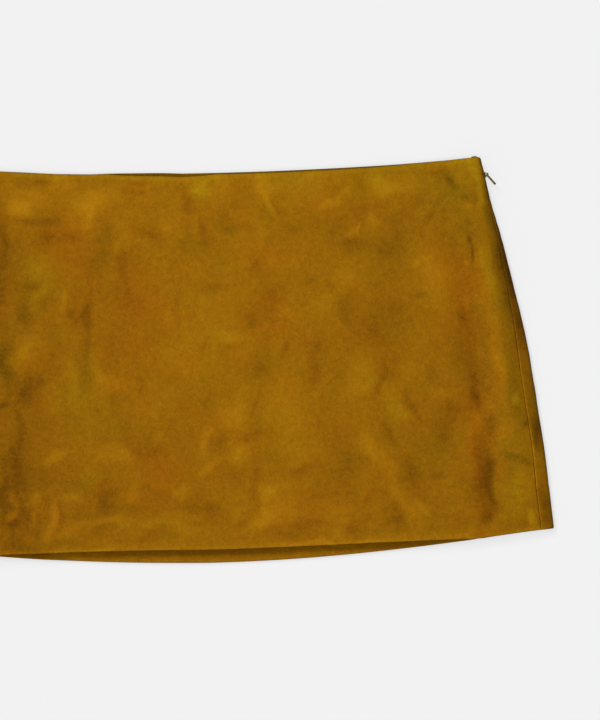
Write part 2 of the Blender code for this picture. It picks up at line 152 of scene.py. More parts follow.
def waves(rows, x):
    """Sum of an edge's waves: each the square of one less the fourth power of the distance."""
    total = np.zeros_like(x)
    for row in rows:
        wave = dict(zip(WAVE_COLUMNS, row))
        total += wave["rise"] * np.clip(1 - ((x - wave["x"]) / wave["reach"]) ** 4, 0, None) ** 2
    return total


def back_lines(across):
    """The y of the back's hem and waist at a share of the half width."""
    hem = SIDE_HEM_Y - HEM_SAG + HEM_SAG * bow(across, HEM_FLATTENING)
    waist = SIDE_HEM_Y + SIDE_LENGTH - WAIST_DIP + WAIST_DIP * bow(across, WAIST_FLATTENING)
    hem = hem + waves(HEM_WAVES, across * HEM_HALF_WIDTH)
    return hem, waist + waves(WAIST_WAVES, across * WAIST_HALF_WIDTH)


def corner_drop(from_side, share):
    """How far the folded corner of the waist is rounded down, on a quarter circle."""
    bend = np.clip(1 - from_side / CORNER_ROUND, 0, CORNER_STEEPEST)
    return CORNER_ROUND * (1 - np.sqrt(1 - bend**2)) * ease((1 - share) * SIDE_LENGTH / CORNER_REACH)


# Height of the front, which lies on the back and carries long soft folds
MIDDLE_HEIGHT = 4.0
HEM_LIFT = 3.6
HEM_LIFT_REACH = 62.0
WAIST_LIFT = 1.8
WAIST_LIFT_REACH = 75.0
WAIST_DROP = 0.7
WAIST_DROP_REACH = 18.0
SHOULDER_REACH = 24.0
RELIEF_FREE_EDGE = 12.0

FOLD_COLUMNS = ("x", "y", "half_length", "half_width", "turn", "rise")
SOFT_FOLDS = (
    (205, -22, 115, 8, 4, -1.2),
    (181, -18, 105, 11, 4, 0.6),
    (-134, -48, 90, 11, -2, -0.55),
    (-112, -30, 95, 10, -1, 0.4),
    (-201, -15, 95, 9, -4, -0.75),
    (-73, 34, 24, 5, 0, -0.4),
    (24, -40, 32, 9, -32, 0.45),
    (128, -62, 38, 8, 30, 0.4),
    (52, 112, 30, 8, 14, 0.35),
    (64, -86, 30, 12, -70, 0.35),
)


def from_middle(oval, x, y):
    """How far points are along and across an oval, in shares of its half length and half width."""
    turn = math.radians(oval["turn"])
    dx = x - oval["x"]
    dy = y - oval["y"]
    along = (dy * math.cos(turn) - dx * math.sin(turn)) / oval["half_length"]
    return along, (dx * math.cos(turn) + dy * math.sin(turn)) / oval["half_width"]


def soft_humps(rows, x, y):
    """Long soft humps: a bell across each one, fading to nothing at its ends."""
    total = np.zeros_like(x)
    for row in rows:
        fold = dict(zip(FOLD_COLUMNS, row))
        along, across = from_middle(fold, x, y)
        total += fold["rise"] * hump(along) * np.exp(-(across**2))
    return total


def front_height(x, y, share):
    """The middle lies low and rises to the side folds on half a cosine wave, with the soft folds on it."""
    past_fold = section_value("half_width", share) - np.abs(x) - section_value("fold_depth", share)
    from_waist = (1 - share) * SIDE_LENGTH
    middle = MIDDLE_HEIGHT + HEM_LIFT * ease(share * SIDE_LENGTH / HEM_LIFT_REACH)
    middle = middle + WAIST_LIFT * ease((from_waist - WAIST_TURN) / WAIST_LIFT_REACH)
    middle = middle - WAIST_DROP * ease(from_waist / WAIST_DROP_REACH)
    height = middle + (section_value("fold_height", share) - middle) * ease(past_fold / SHOULDER_REACH)
    return height + soft_humps(SOFT_FOLDS, x, y) * (1 - ease(past_fold / RELIEF_FREE_EDGE))


def fold_arcs(share, over_front):
    """Offsets in from a side fold's outermost line and up from it, cloth lengths and normals, by rows.

    The lower quarter is a round that turns up from the floor, and the upper one a long superellipse:
    cosine and sine to two over its powers, with normals along the gradient of its formula.
    """
    edge = section_value("edge_height", share)[:, None]
    depth = section_value("fold_depth", share)[:, None] if over_front else edge
    rise = section_value("fold_height", share)[:, None] - edge if over_front else edge
    shoulder = section_value("fold_power", share)[:, None] if over_front else np.full_like(edge, ROUND_POWER)
    brow = (shoulder + ROUND_POWER) / 2
    angles = np.linspace(0, math.pi / 2, ARC_SAMPLES)
    across, up = np.cos(angles), np.sin(angles)
    inwards = depth * (1 - across ** (2 / shoulder))
    upwards = rise * up ** (2 / brow)
    chords = np.hypot(np.diff(inwards), np.diff(upwards))
    lengths = np.pad(np.cumsum(chords, axis=1), ((0, 0), (1, 0)))
    normals = shoulder / depth * across ** (2 - 2 / shoulder), brow / rise * up ** (2 - 2 / brow)
    return inwards, upwards, lengths, *(normals / np.hypot(*normals))


def along_rows(reach, lengths, values):
    """Each row's values, read off at its own cloth lengths."""
    return np.stack([np.interp(*row) for row in zip(reach, lengths, values)])


def cloth_points(along, share, side, lines):
    """Outer points and inward directions, and each point's distance in y from the hem and the waist.

    A row goes round its side fold, then over the front at its height or under the back on the floor.
    """
    half_width = section_value("half_width", share)[:, None]
    edge = section_value("edge_height", share)[:, None]
    reach = np.abs(along)
    ways = []
    for over_front, up in ((True, 1.0), (False, -1.0)):
        inwards, upwards, lengths, normal_out, normal_up = fold_arcs(share, over_front)
        from_side = along_rows(reach, lengths, inwards) + np.clip(reach - lengths[:, -1:], 0, None)
        x = side * (half_width - from_side)
        hem, waist = lines(x / half_width)
        y = hem + (waist - hem) * share[:, None] - corner_drop(from_side, share[:, None])
        level = front_height(x, y, share[:, None]) if over_front else np.zeros_like(x)
        z = np.where(reach < lengths[:, -1:], edge + up * along_rows(reach, lengths, upwards), level)
        out = side * along_rows(reach, lengths, normal_out)
        normal = np.stack([out, np.zeros_like(x), up * along_rows(reach, lengths, normal_up)], axis=-1)
        normal /= np.linalg.norm(normal, axis=-1, keepdims=True)
        ways.append((np.stack([x, y, z], axis=-1), -normal, (y - hem)[..., None], (waist - y)[..., None]))
    over = (along > 0)[..., None]
    points, inward, from_hem, from_waist = [np.where(over, a, b) for a, b in zip(*ways)]
    return points, inward, from_hem[..., 0], from_waist[..., 0]


def parting(share):
    """Half of the gap between the two sides of the zip, which the slider's neck holds open."""
    offset = (share - SLIDER_SHARE) * SIDE_LENGTH
    reach = np.where(offset > 0, PARTING_REACH_UP, PARTING_REACH_DOWN)
    return SEAM_GAP / 2 + (SLIDER_PARTING - SEAM_GAP / 2) * hump(offset / reach)


def panel_grid(fold_columns, middle_columns, over_front):
    """Shares, distances from the seam, cloth lengths and sides of a panel's rows and columns."""
    low = EDGE_ROWS / SIDE_LENGTH
    middle = np.linspace(low[-1], 1 - low[-1], MIDDLE_ROWS + 2)[1:-1]
    share = np.concatenate([low, middle, 1 - low[::-1]])
    seam = section_value("seam_rise", share)[:, None]
    inwards, _, lengths, _, _ = fold_arcs(share, over_front)
    girth = lengths[:, -1:] + section_value("half_width", share)[:, None] - inwards[:, -1:]
    even = np.linspace(0, 1, middle_columns + 1)[1:]
    halves = []
    for gap in (np.full_like(seam, SEAM_GAP / 2), parting(share)[:, None]):
        length = girth - gap - seam if over_front else girth - gap + seam
        near = np.broadcast_to(fold_columns, (len(share), len(fold_columns)))
        distance = np.concatenate([near, near[:, -1:] + (length - near[:, -1:]) * even], axis=1)
        halves.append((distance, seam + gap + distance if over_front else seam - gap - distance))
    distance = np.concatenate([halves[0][0], halves[1][0][:, -2::-1]], axis=1)
    along = np.concatenate([halves[0][1], halves[1][1][:, -2::-1]], axis=1)
    side = np.where(np.arange(along.shape[1]) < halves[0][0].shape[1], -1.0, 1.0)
    return share, distance, along, np.broadcast_to(side, along.shape)


def nose(distance, round_over):
    """Half of the wall's thickness, as a share, over an edge that is rounded on a quarter circle."""
    bend = np.clip(1 - distance / round_over, 0, 1)
    return EDGE_NOSE + (0.5 - EDGE_NOSE) * np.sqrt(1 - bend**2)


def wall_thickness(seam, from_hem, from_waist):
    """Doubled where the hem and the waist are turned in, and skived to less in the seams."""
    into_turn = np.minimum(from_hem - HEM_TURN, from_waist - WAIST_TURN) / STEP_RUN
    open_wall = SUEDE + (TURNED_EDGE - SUEDE) * ease(into_turn)
    return SKIVED_SEAM + (open_wall - SKIVED_SEAM) * (1 - ease((seam - SEAM_ALLOWANCE) / STEP_RUN))


# The cloth's unevenness: long waves of the whole hide, with their length, direction and height. Each is
# bent by the one before it, and all are calmer beside the edges, the seams and the floor.
SWELL_COLUMNS = ("wavelength", "turn", "phase", "rise")
SWELLS = (
    (83, 24, 0.4, 0.16),
    (57, -41, 2.1, 0.12),
    (44, 76, 4.3, 0.10),
    (31, -12, 1.2, 0.07),
    (23, 51, 3.4, 0.05),
    (17, -66, 5.6, 0.035),
)
SWELL_BEND = 1.4
CALM_BY_EDGE = 12.0
CALM_BY_SEAM = 14.0
CALM_BY_FLOOR = 2.5
CALMEST = 0.35


def swells(x, y):
    """Sum of the long waves, each bent by the one before it so that no pattern repeats."""
    total = np.zeros_like(x)
    bend = np.zeros_like(x)
    for row in SWELLS:
        wave = dict(zip(SWELL_COLUMNS, row))
        turn = math.radians(wave["turn"])
        run = (x * math.cos(turn) + y * math.sin(turn)) * 2 * math.pi / wave["wavelength"]
        bend = np.sin(run + wave["phase"] + SWELL_BEND * bend)
        total += wave["rise"] * bend
    return total


# Ripples that the sewing draws into the cloth beside a side seam
PUCKER_LENGTH = 8.5
PUCKER_REACH = 3.2
PUCKER_RISE = 0.09
PUCKER_LEAST = 0.3
PUCKER_DRIFT = 1.9
PUCKER_DRIFT_LENGTH = 23.0
PUCKER_FADE_LENGTH = 17.0


def puckers(seam, y):
    """A sine along the seam with an uneven period, highest one reach away from the stitches."""
    drift = PUCKER_DRIFT * np.sin(y / PUCKER_DRIFT_LENGTH)
    wave = np.sin(2 * math.pi * y / PUCKER_LENGTH + drift)
    uneven = PUCKER_LEAST + (1 - PUCKER_LEAST) * (0.5 + 0.5 * np.sin(y / PUCKER_FADE_LENGTH + 1.0))
    return PUCKER_RISE * wave * uneven * (seam / PUCKER_REACH) * np.exp(1 - seam / PUCKER_REACH)


# Marks in the nap, where folding, hands and a brush have laid it, and rows of painted shade and light where
# noted:
# blots fade away softly, and strokes have a clearer outline. Light above 0 is lighter, and warm above 0 is
# redder.
MARK_COLUMNS = ("x", "y", "half_length", "half_width", "turn", "light", "warm")
BLOTS = (
    # broad changes of tone
    (-95, 117, 12, 62, 0, 0.5, -0.1),
    (65, 122, 10, 90, 0, 0.5, -0.6),
    (175, 122, 14, 34, 8, 0.1, -1.2),
    (-137, 62, 50, 9, 0, -0.9, 0.4),
    (-116, 58, 24, 18, 0, -0.1, -0.6),
    (-128, -92, 36, 14, 0, -0.7, 0.4),
    (-72, -99, 14, 24, 0, -0.4, 0.3),
    (110, -104, 22, 60, 0, -0.3, 0),
    (-118, -106, 24, 26, 0, -0.6, 0.2),
    (-45, 30, 34, 32, 0, -0.2, 0.8),
    (-78, -28, 24, 18, 0, 0.1, -0.9),
    (-27, -76, 17, 17, 0, -0.1, 1),
    (8, 22, 18, 22, 0, 0.35, -0.3),
    (30, 66, 44, 95, 0, 0.3, 0),
    (-16, 100, 12, 22, 0, 0.3, 0),
    (48, 36, 16, 17, 0, -0.3, 0.8),
    (65, -39, 27, 14, 4, 0.6, -0.4),
    (104, -70, 22, 12, 0, -0.6, 0.1),
    (138, 42, 38, 14, 0, -0.4, -0.4),
    (193, 8, 30, 9, 4, -0.4, 1.1),
    (166, -64, 26, 18, 0, -0.4, -0.5),
    (222, -85, 44, 11, 3, 0, -1.1),
    # Darker down the bottom of the long soft fold on the zip's side: partly painted shade
    (207, -10, 60, 9, 4, -0.3, 0),
    (192, 98, 24, 12, 0, -0.35, -0.7),
    (8, 5, 55, 50, 0, 0.16, 0),
    # This row and the next are darker along the bottoms of the long soft folds on either side: partly painted
    # shade
    (-134, -40, 90, 16, 0, -0.2, 0),
    (204, -20, 90, 14, 5, -0.2, 0),
    (-44, -20, 12, 20, 0, 0.28, 0),
    (8, -80, 18, 15, 0, 0, 0.4),
    (-84, 82, 16, 20, 0, 0, 0.8),
    (243, -60, 60, 5, 7, 0, -0.6),
    # along the side seam, where the back comes round: mostly darker on the fold's outer side, partly the
    # nap's tone and partly painted shade
    (219.5, 42, 58, 4, 10, -0.4, 0),
    (224, -22, 24, 4.4, 8, -0.4, -1.3),
    (235, -62, 7, 5, 0, 0.3, 0),
    (234, -118, 5, 5, 0, 0.3, 0),
    (221, 58, 44, 4.6, 12, -1.2, 0.3),
    (227.5, 18, 14, 3.5, 10, -0.8, 0.6),
    (233, -4, 7, 4, 9, 0.9, 0),
    (219.5, 64, 24, 3, 13, -0.9, 0),
    (239, -51, 15, 4, 8, -1.3, 0.2),
    (240.5, -58, 8, 3, 7, -0.8, 0.2),
    (241, -70, 8, 4, 8, 0.4, -0.6),
    (242.5, -98, 11, 3.6, 5, -1, 0.2),
    (244, -114, 8, 5, 4, -0.8, 0.1),
    (222, 8, 12, 5, 9, 0, -0.4),
    (231, -47, 3, 3.4, 0, -1.3, 0),
    (227, -73, 9, 2.6, 62, -0.8, 0),
    (230, -119, 2.4, 3.6, 0, -1, 0.4),
    (236, -35, 8, 4, 0, 0.3, 0),
    (235, -85, 26, 5, 5, 0, -0.45),
    # along the waist
    (-56, 126, 4, 7, 0, -0.3, 0),
    (68, 111, 6, 8, 0, 0.28, 0),
    (124, 110, 6, 8, 0, 0.28, 0),
    (-92, 106, 15, 14, 0, 0, 0.45),
    (-72, 125, 9, 22, 0, 0, 0.45),
    (49, 124, 8, 24, 0, -0.1, 0.6),
    (140, 122, 8, 10, 0, 0, 0.35),
    # Olive and lighter down the fold's outer side below the waist corner: partly painted light
    (205, 116, 26, 4.5, 11.5, 0.25, -1.1),
    (-74, 112, 8, 9, 0, 0.9, 0.2),
    (-3, 114, 8, 4, 36, -1, 0.5),
    (182, 125, 7, 3.4, 28, -1.7, 0.6),
    (42, 124, 5, 8, 0, -0.35, 0),
    (77, 109, 6, 14, 0, 0.3, 0),
    (175, 121, 7, 9, 0, -0.4, 0),
    # This row and the next are lighter on the fold's outer side at the waist corner: painted light
    (197, 137, 4, 8, 0, 0.25, -0.8),
    (202.5, 131, 6, 3.5, 6, 0.9, -0.2),
    (-106, 128, 2.6, 8, 0, -0.8, 0.4),
    (-90, 127, 4, 5, 0, 0.6, -0.6),
    (-109, 119, 4, 6, 0, 0.5, 0.2),
    (-64, 114, 3.4, 4, 0, 0.6, 0.2),
    (-42, 114, 5, 1.8, 0, -0.6, 0.3),
    (-32, 121.5, 1.6, 11, 0, -0.7, 0.3),
    (-31, 124, 2, 4, 0, 0.7, -0.4),
    (21, 127, 4, 6, 0, 0.6, 0.2),
    (80, 126, 3, 12, 0, 0.4, -0.3),
    (149, 124, 6, 9, 0, 0.5, -0.2),
    (153, 118.5, 1.8, 7, 0, 0.5, 0.3),
    (117, 123, 6, 3, -20, -0.6, -0.4),
    (100, 121, 3, 4, 0, -0.5, 0.4),
    (159, 108, 4, 6, 0, -0.5, 0.4),
    (34, 105, 3, 7, 0, 0.4, 0.6),
    (64, 104, 5, 4, 0, -0.5, 0.3),
    (-84, 125, 5, 8, 0, 0, 0.4),
    (14, 125, 5, 8, 0, 0, 0.4),
    # upper half
    (57, 74, 9, 21, 0, 0, 0.9),
    (170, 57, 16, 11, 0, 0.6, 0.3),
    (190, 54, 17, 8, 0, -0.1, 1.2),
    (208, 60, 24, 6, 14, 0.2, -1.4),
    (218, 20, 30, 6, 10, 0, -0.8),
    (32, 11, 8, 12, 0, 0.22, 0),
    (153, 93, 7, 7, 0, 0.25, 0),
    (153, 51, 7, 7, 0, 0.25, 0),
    (-15, 54, 7, 7, 0, 0.2, 0),
    (195, 67, 10, 5, 4, -0.4, 0.2),
    (-89, 13, 7, 10, 0, -0.25, 0),
    (-58, 81, 7, 6, 0, 0.25, 0),
    (-99, 3, 11, 7, 0, -0.5, 0.5),
    (-122, 50, 14, 9, 0, -0.35, 0.2),
    (-119, 78, 14, 10, 0, -0.3, 0.4),
    (-37, 82, 13, 17, 0, -0.1, 0.5),
    (-55, 46, 9, 18, 0, -0.25, 0.1),
    (-10, 0, 10, 14, 0, 0.4, 0),
    (186, 2, 12, 9, 0, -0.35, 0),
    (201, 22, 9, 9, 0, -0.35, 0),
    (194, 86, 20, 6, 0, -0.45, 0),
    (212, 62, 24, 6, 11, 0, -0.45),
    (-71, 98, 6, 7, 0, 0.5, 0),
    (-131, 88, 14, 3.4, 8, -0.8, 0.5),
    (-104, 100, 2.6, 19, -8, -1.1, 0.4),
    (-100, 88, 6, 9, 0, -0.85, 0.5),
    (-62, 80, 16, 6.4, -18, -0.8, -0.2),
    (-50, 88, 11, 4, -8, 0.7, -0.7),
    (-47.5, 70, 8, 4.6, 6, -0.8, 0.9),
    (-28, 89, 8, 2.4, 58, -0.9, 0.4),
    (9, 80, 7, 10, 0, -0.6, -1),
    (26, 94, 6, 7, 0, -0.4, -1),
    (73, 94, 4, 7, 0, -0.5, -0.6),
    (119, 103, 7, 10, 0, -0.6, 0.5),
    (112, 79, 5, 9, 0, -0.5, 0.2),
    (107, 60, 8, 10, 0, 0.7, -0.6),
    (144, 86, 6, 8, 0, -0.6, 0.2),
    (-107, 50, 14, 5, -38, 0.6, -0.9),
    (-109, 69, 7, 8, 0, 0.5, -0.7),
    (-117, 36, 8, 5, 0, -1, 0.2),
    (-113, 57, 3, 7, 8, -0.9, 0),
    (-83, 33, 5, 4.4, 0, -0.9, 0.3),
    (-73.5, 12, 11, 2.6, 0, -0.6, -0.6),
    (-118, 11, 13, 4.6, -26, 0.9, -0.6),
    (55, 43, 8, 8, 0, -0.4, 0.5),
    (41.5, 28, 6, 4, 0, -0.9, 0.1),
    (94, 42, 13, 8, -10, 0.5, -0.4),
    (109, 37, 14, 5, 4, -0.7, 0.3),
    (87, 8, 6, 5, 0, -0.8, 0.4),
    (125, 19, 7, 9, 0, -0.8, 0.5),
    (180, 78, 8, 8, 0, -0.4, 0),
    (97, 59, 10, 6, 0, -0.4, 0),
    (139, 52, 7, 7, 0, 0.3, 0),
    (12, 54, 7, 7, 0, -0.3, 0),
    (68, 39, 7, 7, 0, 0.3, 0),
    (40, 19, 9, 7, 0, 0.22, 0),
    (-70, 103, 7, 3, -10, 0.5, -0.2),
    (-84, 89, 3, 5, 0, -0.9, 0.4),
    (-80, 97, 3.4, 8, 0, 0.5, 0.6),
    (-94, 93, 3, 14, -6, 0, 0.8),
    (9, 92, 5.5, 3, -16, -0.8, 0.5),
    (3, 94, 7, 2.6, -30, 0.5, -0.6),
    (-4, 88, 9, 4, 0, -0.4, -0.6),
    (-72, 54, 7, 2.6, 0, -0.6, 0.5),
    (-90, 45, 9, 2.6, -14, 0.6, 0.1),
    (-103, 45, 5, 3, 0, -0.5, 0),
    (-39, 38, 12, 13, 0, -0.2, 0.9),
    (-47.5, 53, 11, 2.6, 0, -0.35, 0.6),
    (-40, 12, 5, 6, 0, -0.1, 0.7),
    (-10, 35, 17, 2, 0, -0.5, 0.2),
    (-17, 31, 4.5, 3.4, 0, 0.6, 0),
    (12, 50, 3, 9, 0, -0.5, 0.2),
    (8, 12, 5, 2, 0, -0.6, 0.1),
    (-132, 70, 12, 4, 0, -0.2, 0.3),
    (111, 89.5, 2.4, 5, 0, 0.6, 0.1),
    (143, 98, 6, 9, 0, -0.6, 0.3),
    (162, 101, 3, 4, 0, 0.6, -0.4),
    (100, 90, 7, 9, 0, -0.5, -0.3),
    (111, 84, 2.5, 4, 0, -0.6, 0.5),
    (134, 77, 6, 9, 0, -0.7, 0.2),
    (129, 60, 14, 8, 0, 0, -0.8),
    (139, 34, 14, 12, 0, -0.2, 0.5),
    (124, 28, 2.4, 4, 0, -0.7, -0.6),
    (55, 22, 4, 10, 0, 0.3, 0.8),
    (67, 31, 8, 4, 0, 0.4, 0.4),
    (60, 69, 5, 8, 0, 0.3, 0.5),
    (47, 65, 8, 6, 0, -0.5, 0.3),
    (29, 12, 4, 4, 0, -0.5, 0),
    (82, 54, 4, 5, 0, -0.5, -0.3),
    (96, 53, 3.5, 4, 0, -0.6, 0.3),
    (205, 56, 12, 4, 10, 0.5, -0.5),
    (211, 14, 22, 4, 8, 0.2, 0),
    (168, 58, 14, 8, 0, 0.2, 0.2),
    (222, 35, 16, 6, 10, 0, -0.45),
    (124, 45, 14, 8, 0, 0, -0.5),
    (209, 92, 8, 4, 12, 0, -0.4),
    (209, 95, 16, 4, 12.5, -0.5, -0.8),
    (-132, 2, 12, 3, 0, -0.8, -0.4),
    # lower half
    (-114, -15, 12, 9, 0, -0.7, 0.6),
    (12, -2, 8, 8, 0, 0.25, 0),
    (-129, -12, 18, 4, 0, -0.3, 0),
    (-115, -56, 7, 8, 0, -0.25, 0),
    (-73, -85, 6, 6, 0, -0.25, 0),
    (25, -24, 13, 7, 0, -0.35, 0),
    (-72, -2, 8, 7, 0, 0.2, 0),
    (-130, -12, 20, 8, 0, -0.5, 0),
    (-112, -38, 16, 12, 0, -0.35, 0),
    (-106, -77, 12, 14, 0, -0.45, 0.1),
    (31, -51, 12, 13, 0, 0.35, 0),
    (86, -67, 10, 10, 0, 0.28, 0),
    (130, -24, 10, 10, 0, -0.28, 0),
    (179, -27, 18, 6, 0, -0.33, 0),
    (216, -5, 9, 7, 0, 0.35, 0),
    (207, -41, 10, 6, 0, -0.4, 0),
    (219, -75, 17, 7, 0, -0.45, 0),
    (31, -32, 14, 7, -22, 0.9, -0.3),
    (22, -42, 9, 6, -30, 0.5, 0.2),
    (11, -28, 11, 7, 0, -0.6, -0.3),
    (47, -6, 7, 10, 0, -0.8, -0.2),
    (41, -51, 4, 13, 4, -0.8, 0.5),
    (18, -56, 7, 5, 0, -0.8, 0.4),
    (32, -63, 9, 6, -50, 1, -0.1),
    (-118, -18, 12, 4.6, -6, -0.9, 0.6),
    (-125, -68, 30, 4, -6, -0.8, 0.5),
    (-75, -79, 6, 9, 0, 0.2, -1.2),
    (-32, -61, 6, 12, 0, -0.7, 0.2),
    (197, -21, 16, 5.6, 8, -0.8, 1),
    (207, -50, 9, 3.4, 0, -0.7, 0.7),
    (183, -35, 6, 9, 0, -0.6, 0.9),
    (175, -50, 11, 6, 6, -0.75, 0.6),
    (134, -50, 11, 3.8, 48, -0.8, 0.6),
    (124, -63, 12, 7, 35, 0.8, -0.2),
    (150, -80, 12, 5.6, 30, -1.1, 0.7),
    (-81, -84, 5, 12, 0, -0.28, 0),
    (58, -38, 14, 12, 0, 0, 0.3),
    (138, -9, 3.6, 8, 0, -0.6, 0),
    (150, -8, 6, 10, 0, 0.4, -0.2),
    (165, -11, 5, 5, 0, -0.8, 0.3),
    (168, -83, 3, 3, 0, -0.7, 0.2),
    (28, -78, 6, 14, 0, -0.3, 0.4),
    (-77, -6, 14, 3, 0, -0.6, -0.2),
    (-84, -9, 16, 3.4, 0, 0.5, -0.6),
    (-68, -4, 15, 3.6, 0, 0.4, -0.5),
    (-67, -33, 3, 2, 0, -0.6, 0.3),
    (-84, -39, 3, 5, 0, -0.6, 0),
    (-62, -12, 4, 5, 0, 0.5, 0.3),
    (-54, -16, 3, 6, 0, 0.4, 0.5),
    (-37, -18, 9, 3, 10, -0.6, 0.6),
    (-54, -27, 7, 6, 0, -0.5, 0),
    (-49, -46, 8, 4, 0, -0.4, 0.2),
    (-27, -40, 10, 2.4, 0, 0.4, -0.5),
    (-108, -10, 3, 4, 0, -0.6, 0.6),
    (-122, -44, 14, 3, 6, -0.5, 0.4),
    (199, -29, 4, 2.6, 0, -0.6, 0.5),
    (213, -8, 13, 4.4, 4, 0.35, 0.1),
    (193.5, -62, 16, 4, 0, 0.3, 0.9),
    (217, -52, 6, 5, 0, 0.4, 0.7),
    (174, -25, 4, 6, 0, 0.5, -0.4),
    (75, -67, 7, 12, 0, 0.2, 0.5),
    (84, -49, 4, 3, 0, -0.5, 0.3),
    (19, -81, 9, 12, 0, 0, 0.4),
    (-30, -2, 7, 7, 0, 0, 0.4),
    (-17, -16, 7, 7, 0, 0, 0.4),
    (72, -77, 3.6, 12, 0, -0.6, 0.9),
    (-120, -80, 12, 6, 0, -0.4, 0.2),
    # along the hem
    # Darker along the crease that rises from the hem on the zip's side, as in a row further down: partly
    # painted shade
    (199, -86, 36, 6, 2, -0.5, 1.4),
    (78, -98, 14, 16, 0, 0.2, 0.7),
    (-85, -127, 3, 40, 0, -0.3, 0),
    (45, -115, 5, 14, 0, 0.25, 0),
    (66, -102, 7, 7, 0, 0.25, 0),
    (108, -102, 7, 7, 0, 0.3, 0),
    (200, -103, 8, 9, 0, -0.25, 0),
    (90, -115, 6, 14, 0, 0.28, 0),
    (-38, -87, 7, 12, 0, -0.2, 0),
    (-118, -128, 6, 22, 0, -0.6, 0),
    (56, -109, 9, 11, 0, 0.45, 0),
    (101, -115, 10, 13, 0, 0.4, 0),
    (80, -129, 6, 26, 0, 0, 0.4),
    (-58, -101, 9, 10, 0, -0.4, 0.2),
    # Darker along the same crease: partly painted shade
    (203, -88, 26, 6, 4, -0.9, 0.9),
    (-63, -91, 15, 5, 0, -0.6, 0.5),
    (202.5, -113, 6, 4, 0, -1.1, 0.4),
    (146, -101, 18, 4.4, 24, 0.9, -0.4),
    (141, -108, 8, 9, 0, -0.8, 0.7),
    (226, -95, 10, 7, 0, 0.3, -0.5),
    (-74, -98, 5, 6, 0, 0.3, 0),
    (3, -93, 9, 10, 0, -0.28, 0),
    (67, -87, 5, 6, 0, 0.5, 0),
    (192, -104, 6, 6, 0, -0.3, 0),
    (234, -104, 7, 6, 0, -0.4, 0),
    (220, -118, 5, 7, 0, -0.45, 0),
    (243, -124, 5, 6, 0, 0.2, -0.8),
    (-43, -90, 11, 3, -10, 0.5, 0.2),
    (-45, -94, 4, 7, 0, 0.3, 0.3),
    (190, -124, 2, 10, 0, 0.5, 0.6),
    (186, -108, 12, 9, 0, 0.1, 0.6),
    (207, -116, 6, 3, -20, 0.7, -0.4),
    (240, -118, 6, 9, 0, 0, -0.7),
    (-88, -118, 6, 9, 0, 0.4, 0.5),
    (-62, -119, 4, 10, 0, -0.5, 0.3),
    (-34, -121, 5, 8, 0, -0.6, 0.2),
    (-2, -101, 4, 20, -12, -0.6, 0.2),
    (28, -98, 10, 9, 0, 0.2, -0.9),
    (42, -88, 20, 3, 0, -0.8, 0.5),
    (53, -93, 5, 8, 0, 0.9, -0.7),
    (48, -108, 11, 7, -36, 0.8, -0.4),
    (60, -119, 4, 12, 0, -0.7, 0.8),
    (110, -117, 5, 5, 0, -1, 1),
    # A painted highlight along the front's hem edge
    (96, -128.4, 1.6, 34, 0, 0.9, -0.2),
    (11, -105, 6, 5, 0, -0.5, 0.2),
    (33, -111, 4, 3, 0, -0.6, 0.3),
    (-120, -105, 8, 2, 8, -0.6, 0.4),
    (-128, -113, 4, 3, 0, -0.8, 0.6),
    (-67, -115, 2, 6, 14, -0.6, 0.2),
    (-134.5, -86, 22, 3, 0, -0.8, 0.2),
    (-43, -101, 5, 9, 0, -0.6, 0.2),
    # This row and the next lighten the back's hem strip in the shade below the front's hem: painted light
    (-93, -134.5, 2.4, 10, 0, 1, 0),
    (85, -134, 2, 24, 0, 0.5, 0),
    # beyond the other side fold's trough, mostly darker along the trough and near the fold's outer line:
    # partly painted shade
    (-188, 60, 40, 9, -6, -0.4, 0.8),
    (-196, -40, 46, 8, -4, -0.5, 0.7),
    (-212, 30, 60, 5, -9, 0.6, -1),
    (-222, -84, 36, 9, -4, 0.3, -0.8),
    (-228, 18, 36, 4, -10, -0.9, 0.4),
    (-152, 68, 12, 10, 0, -0.5, 0.5),
    (-158, -52, 9, 13, 0, -0.5, 0.4),
)
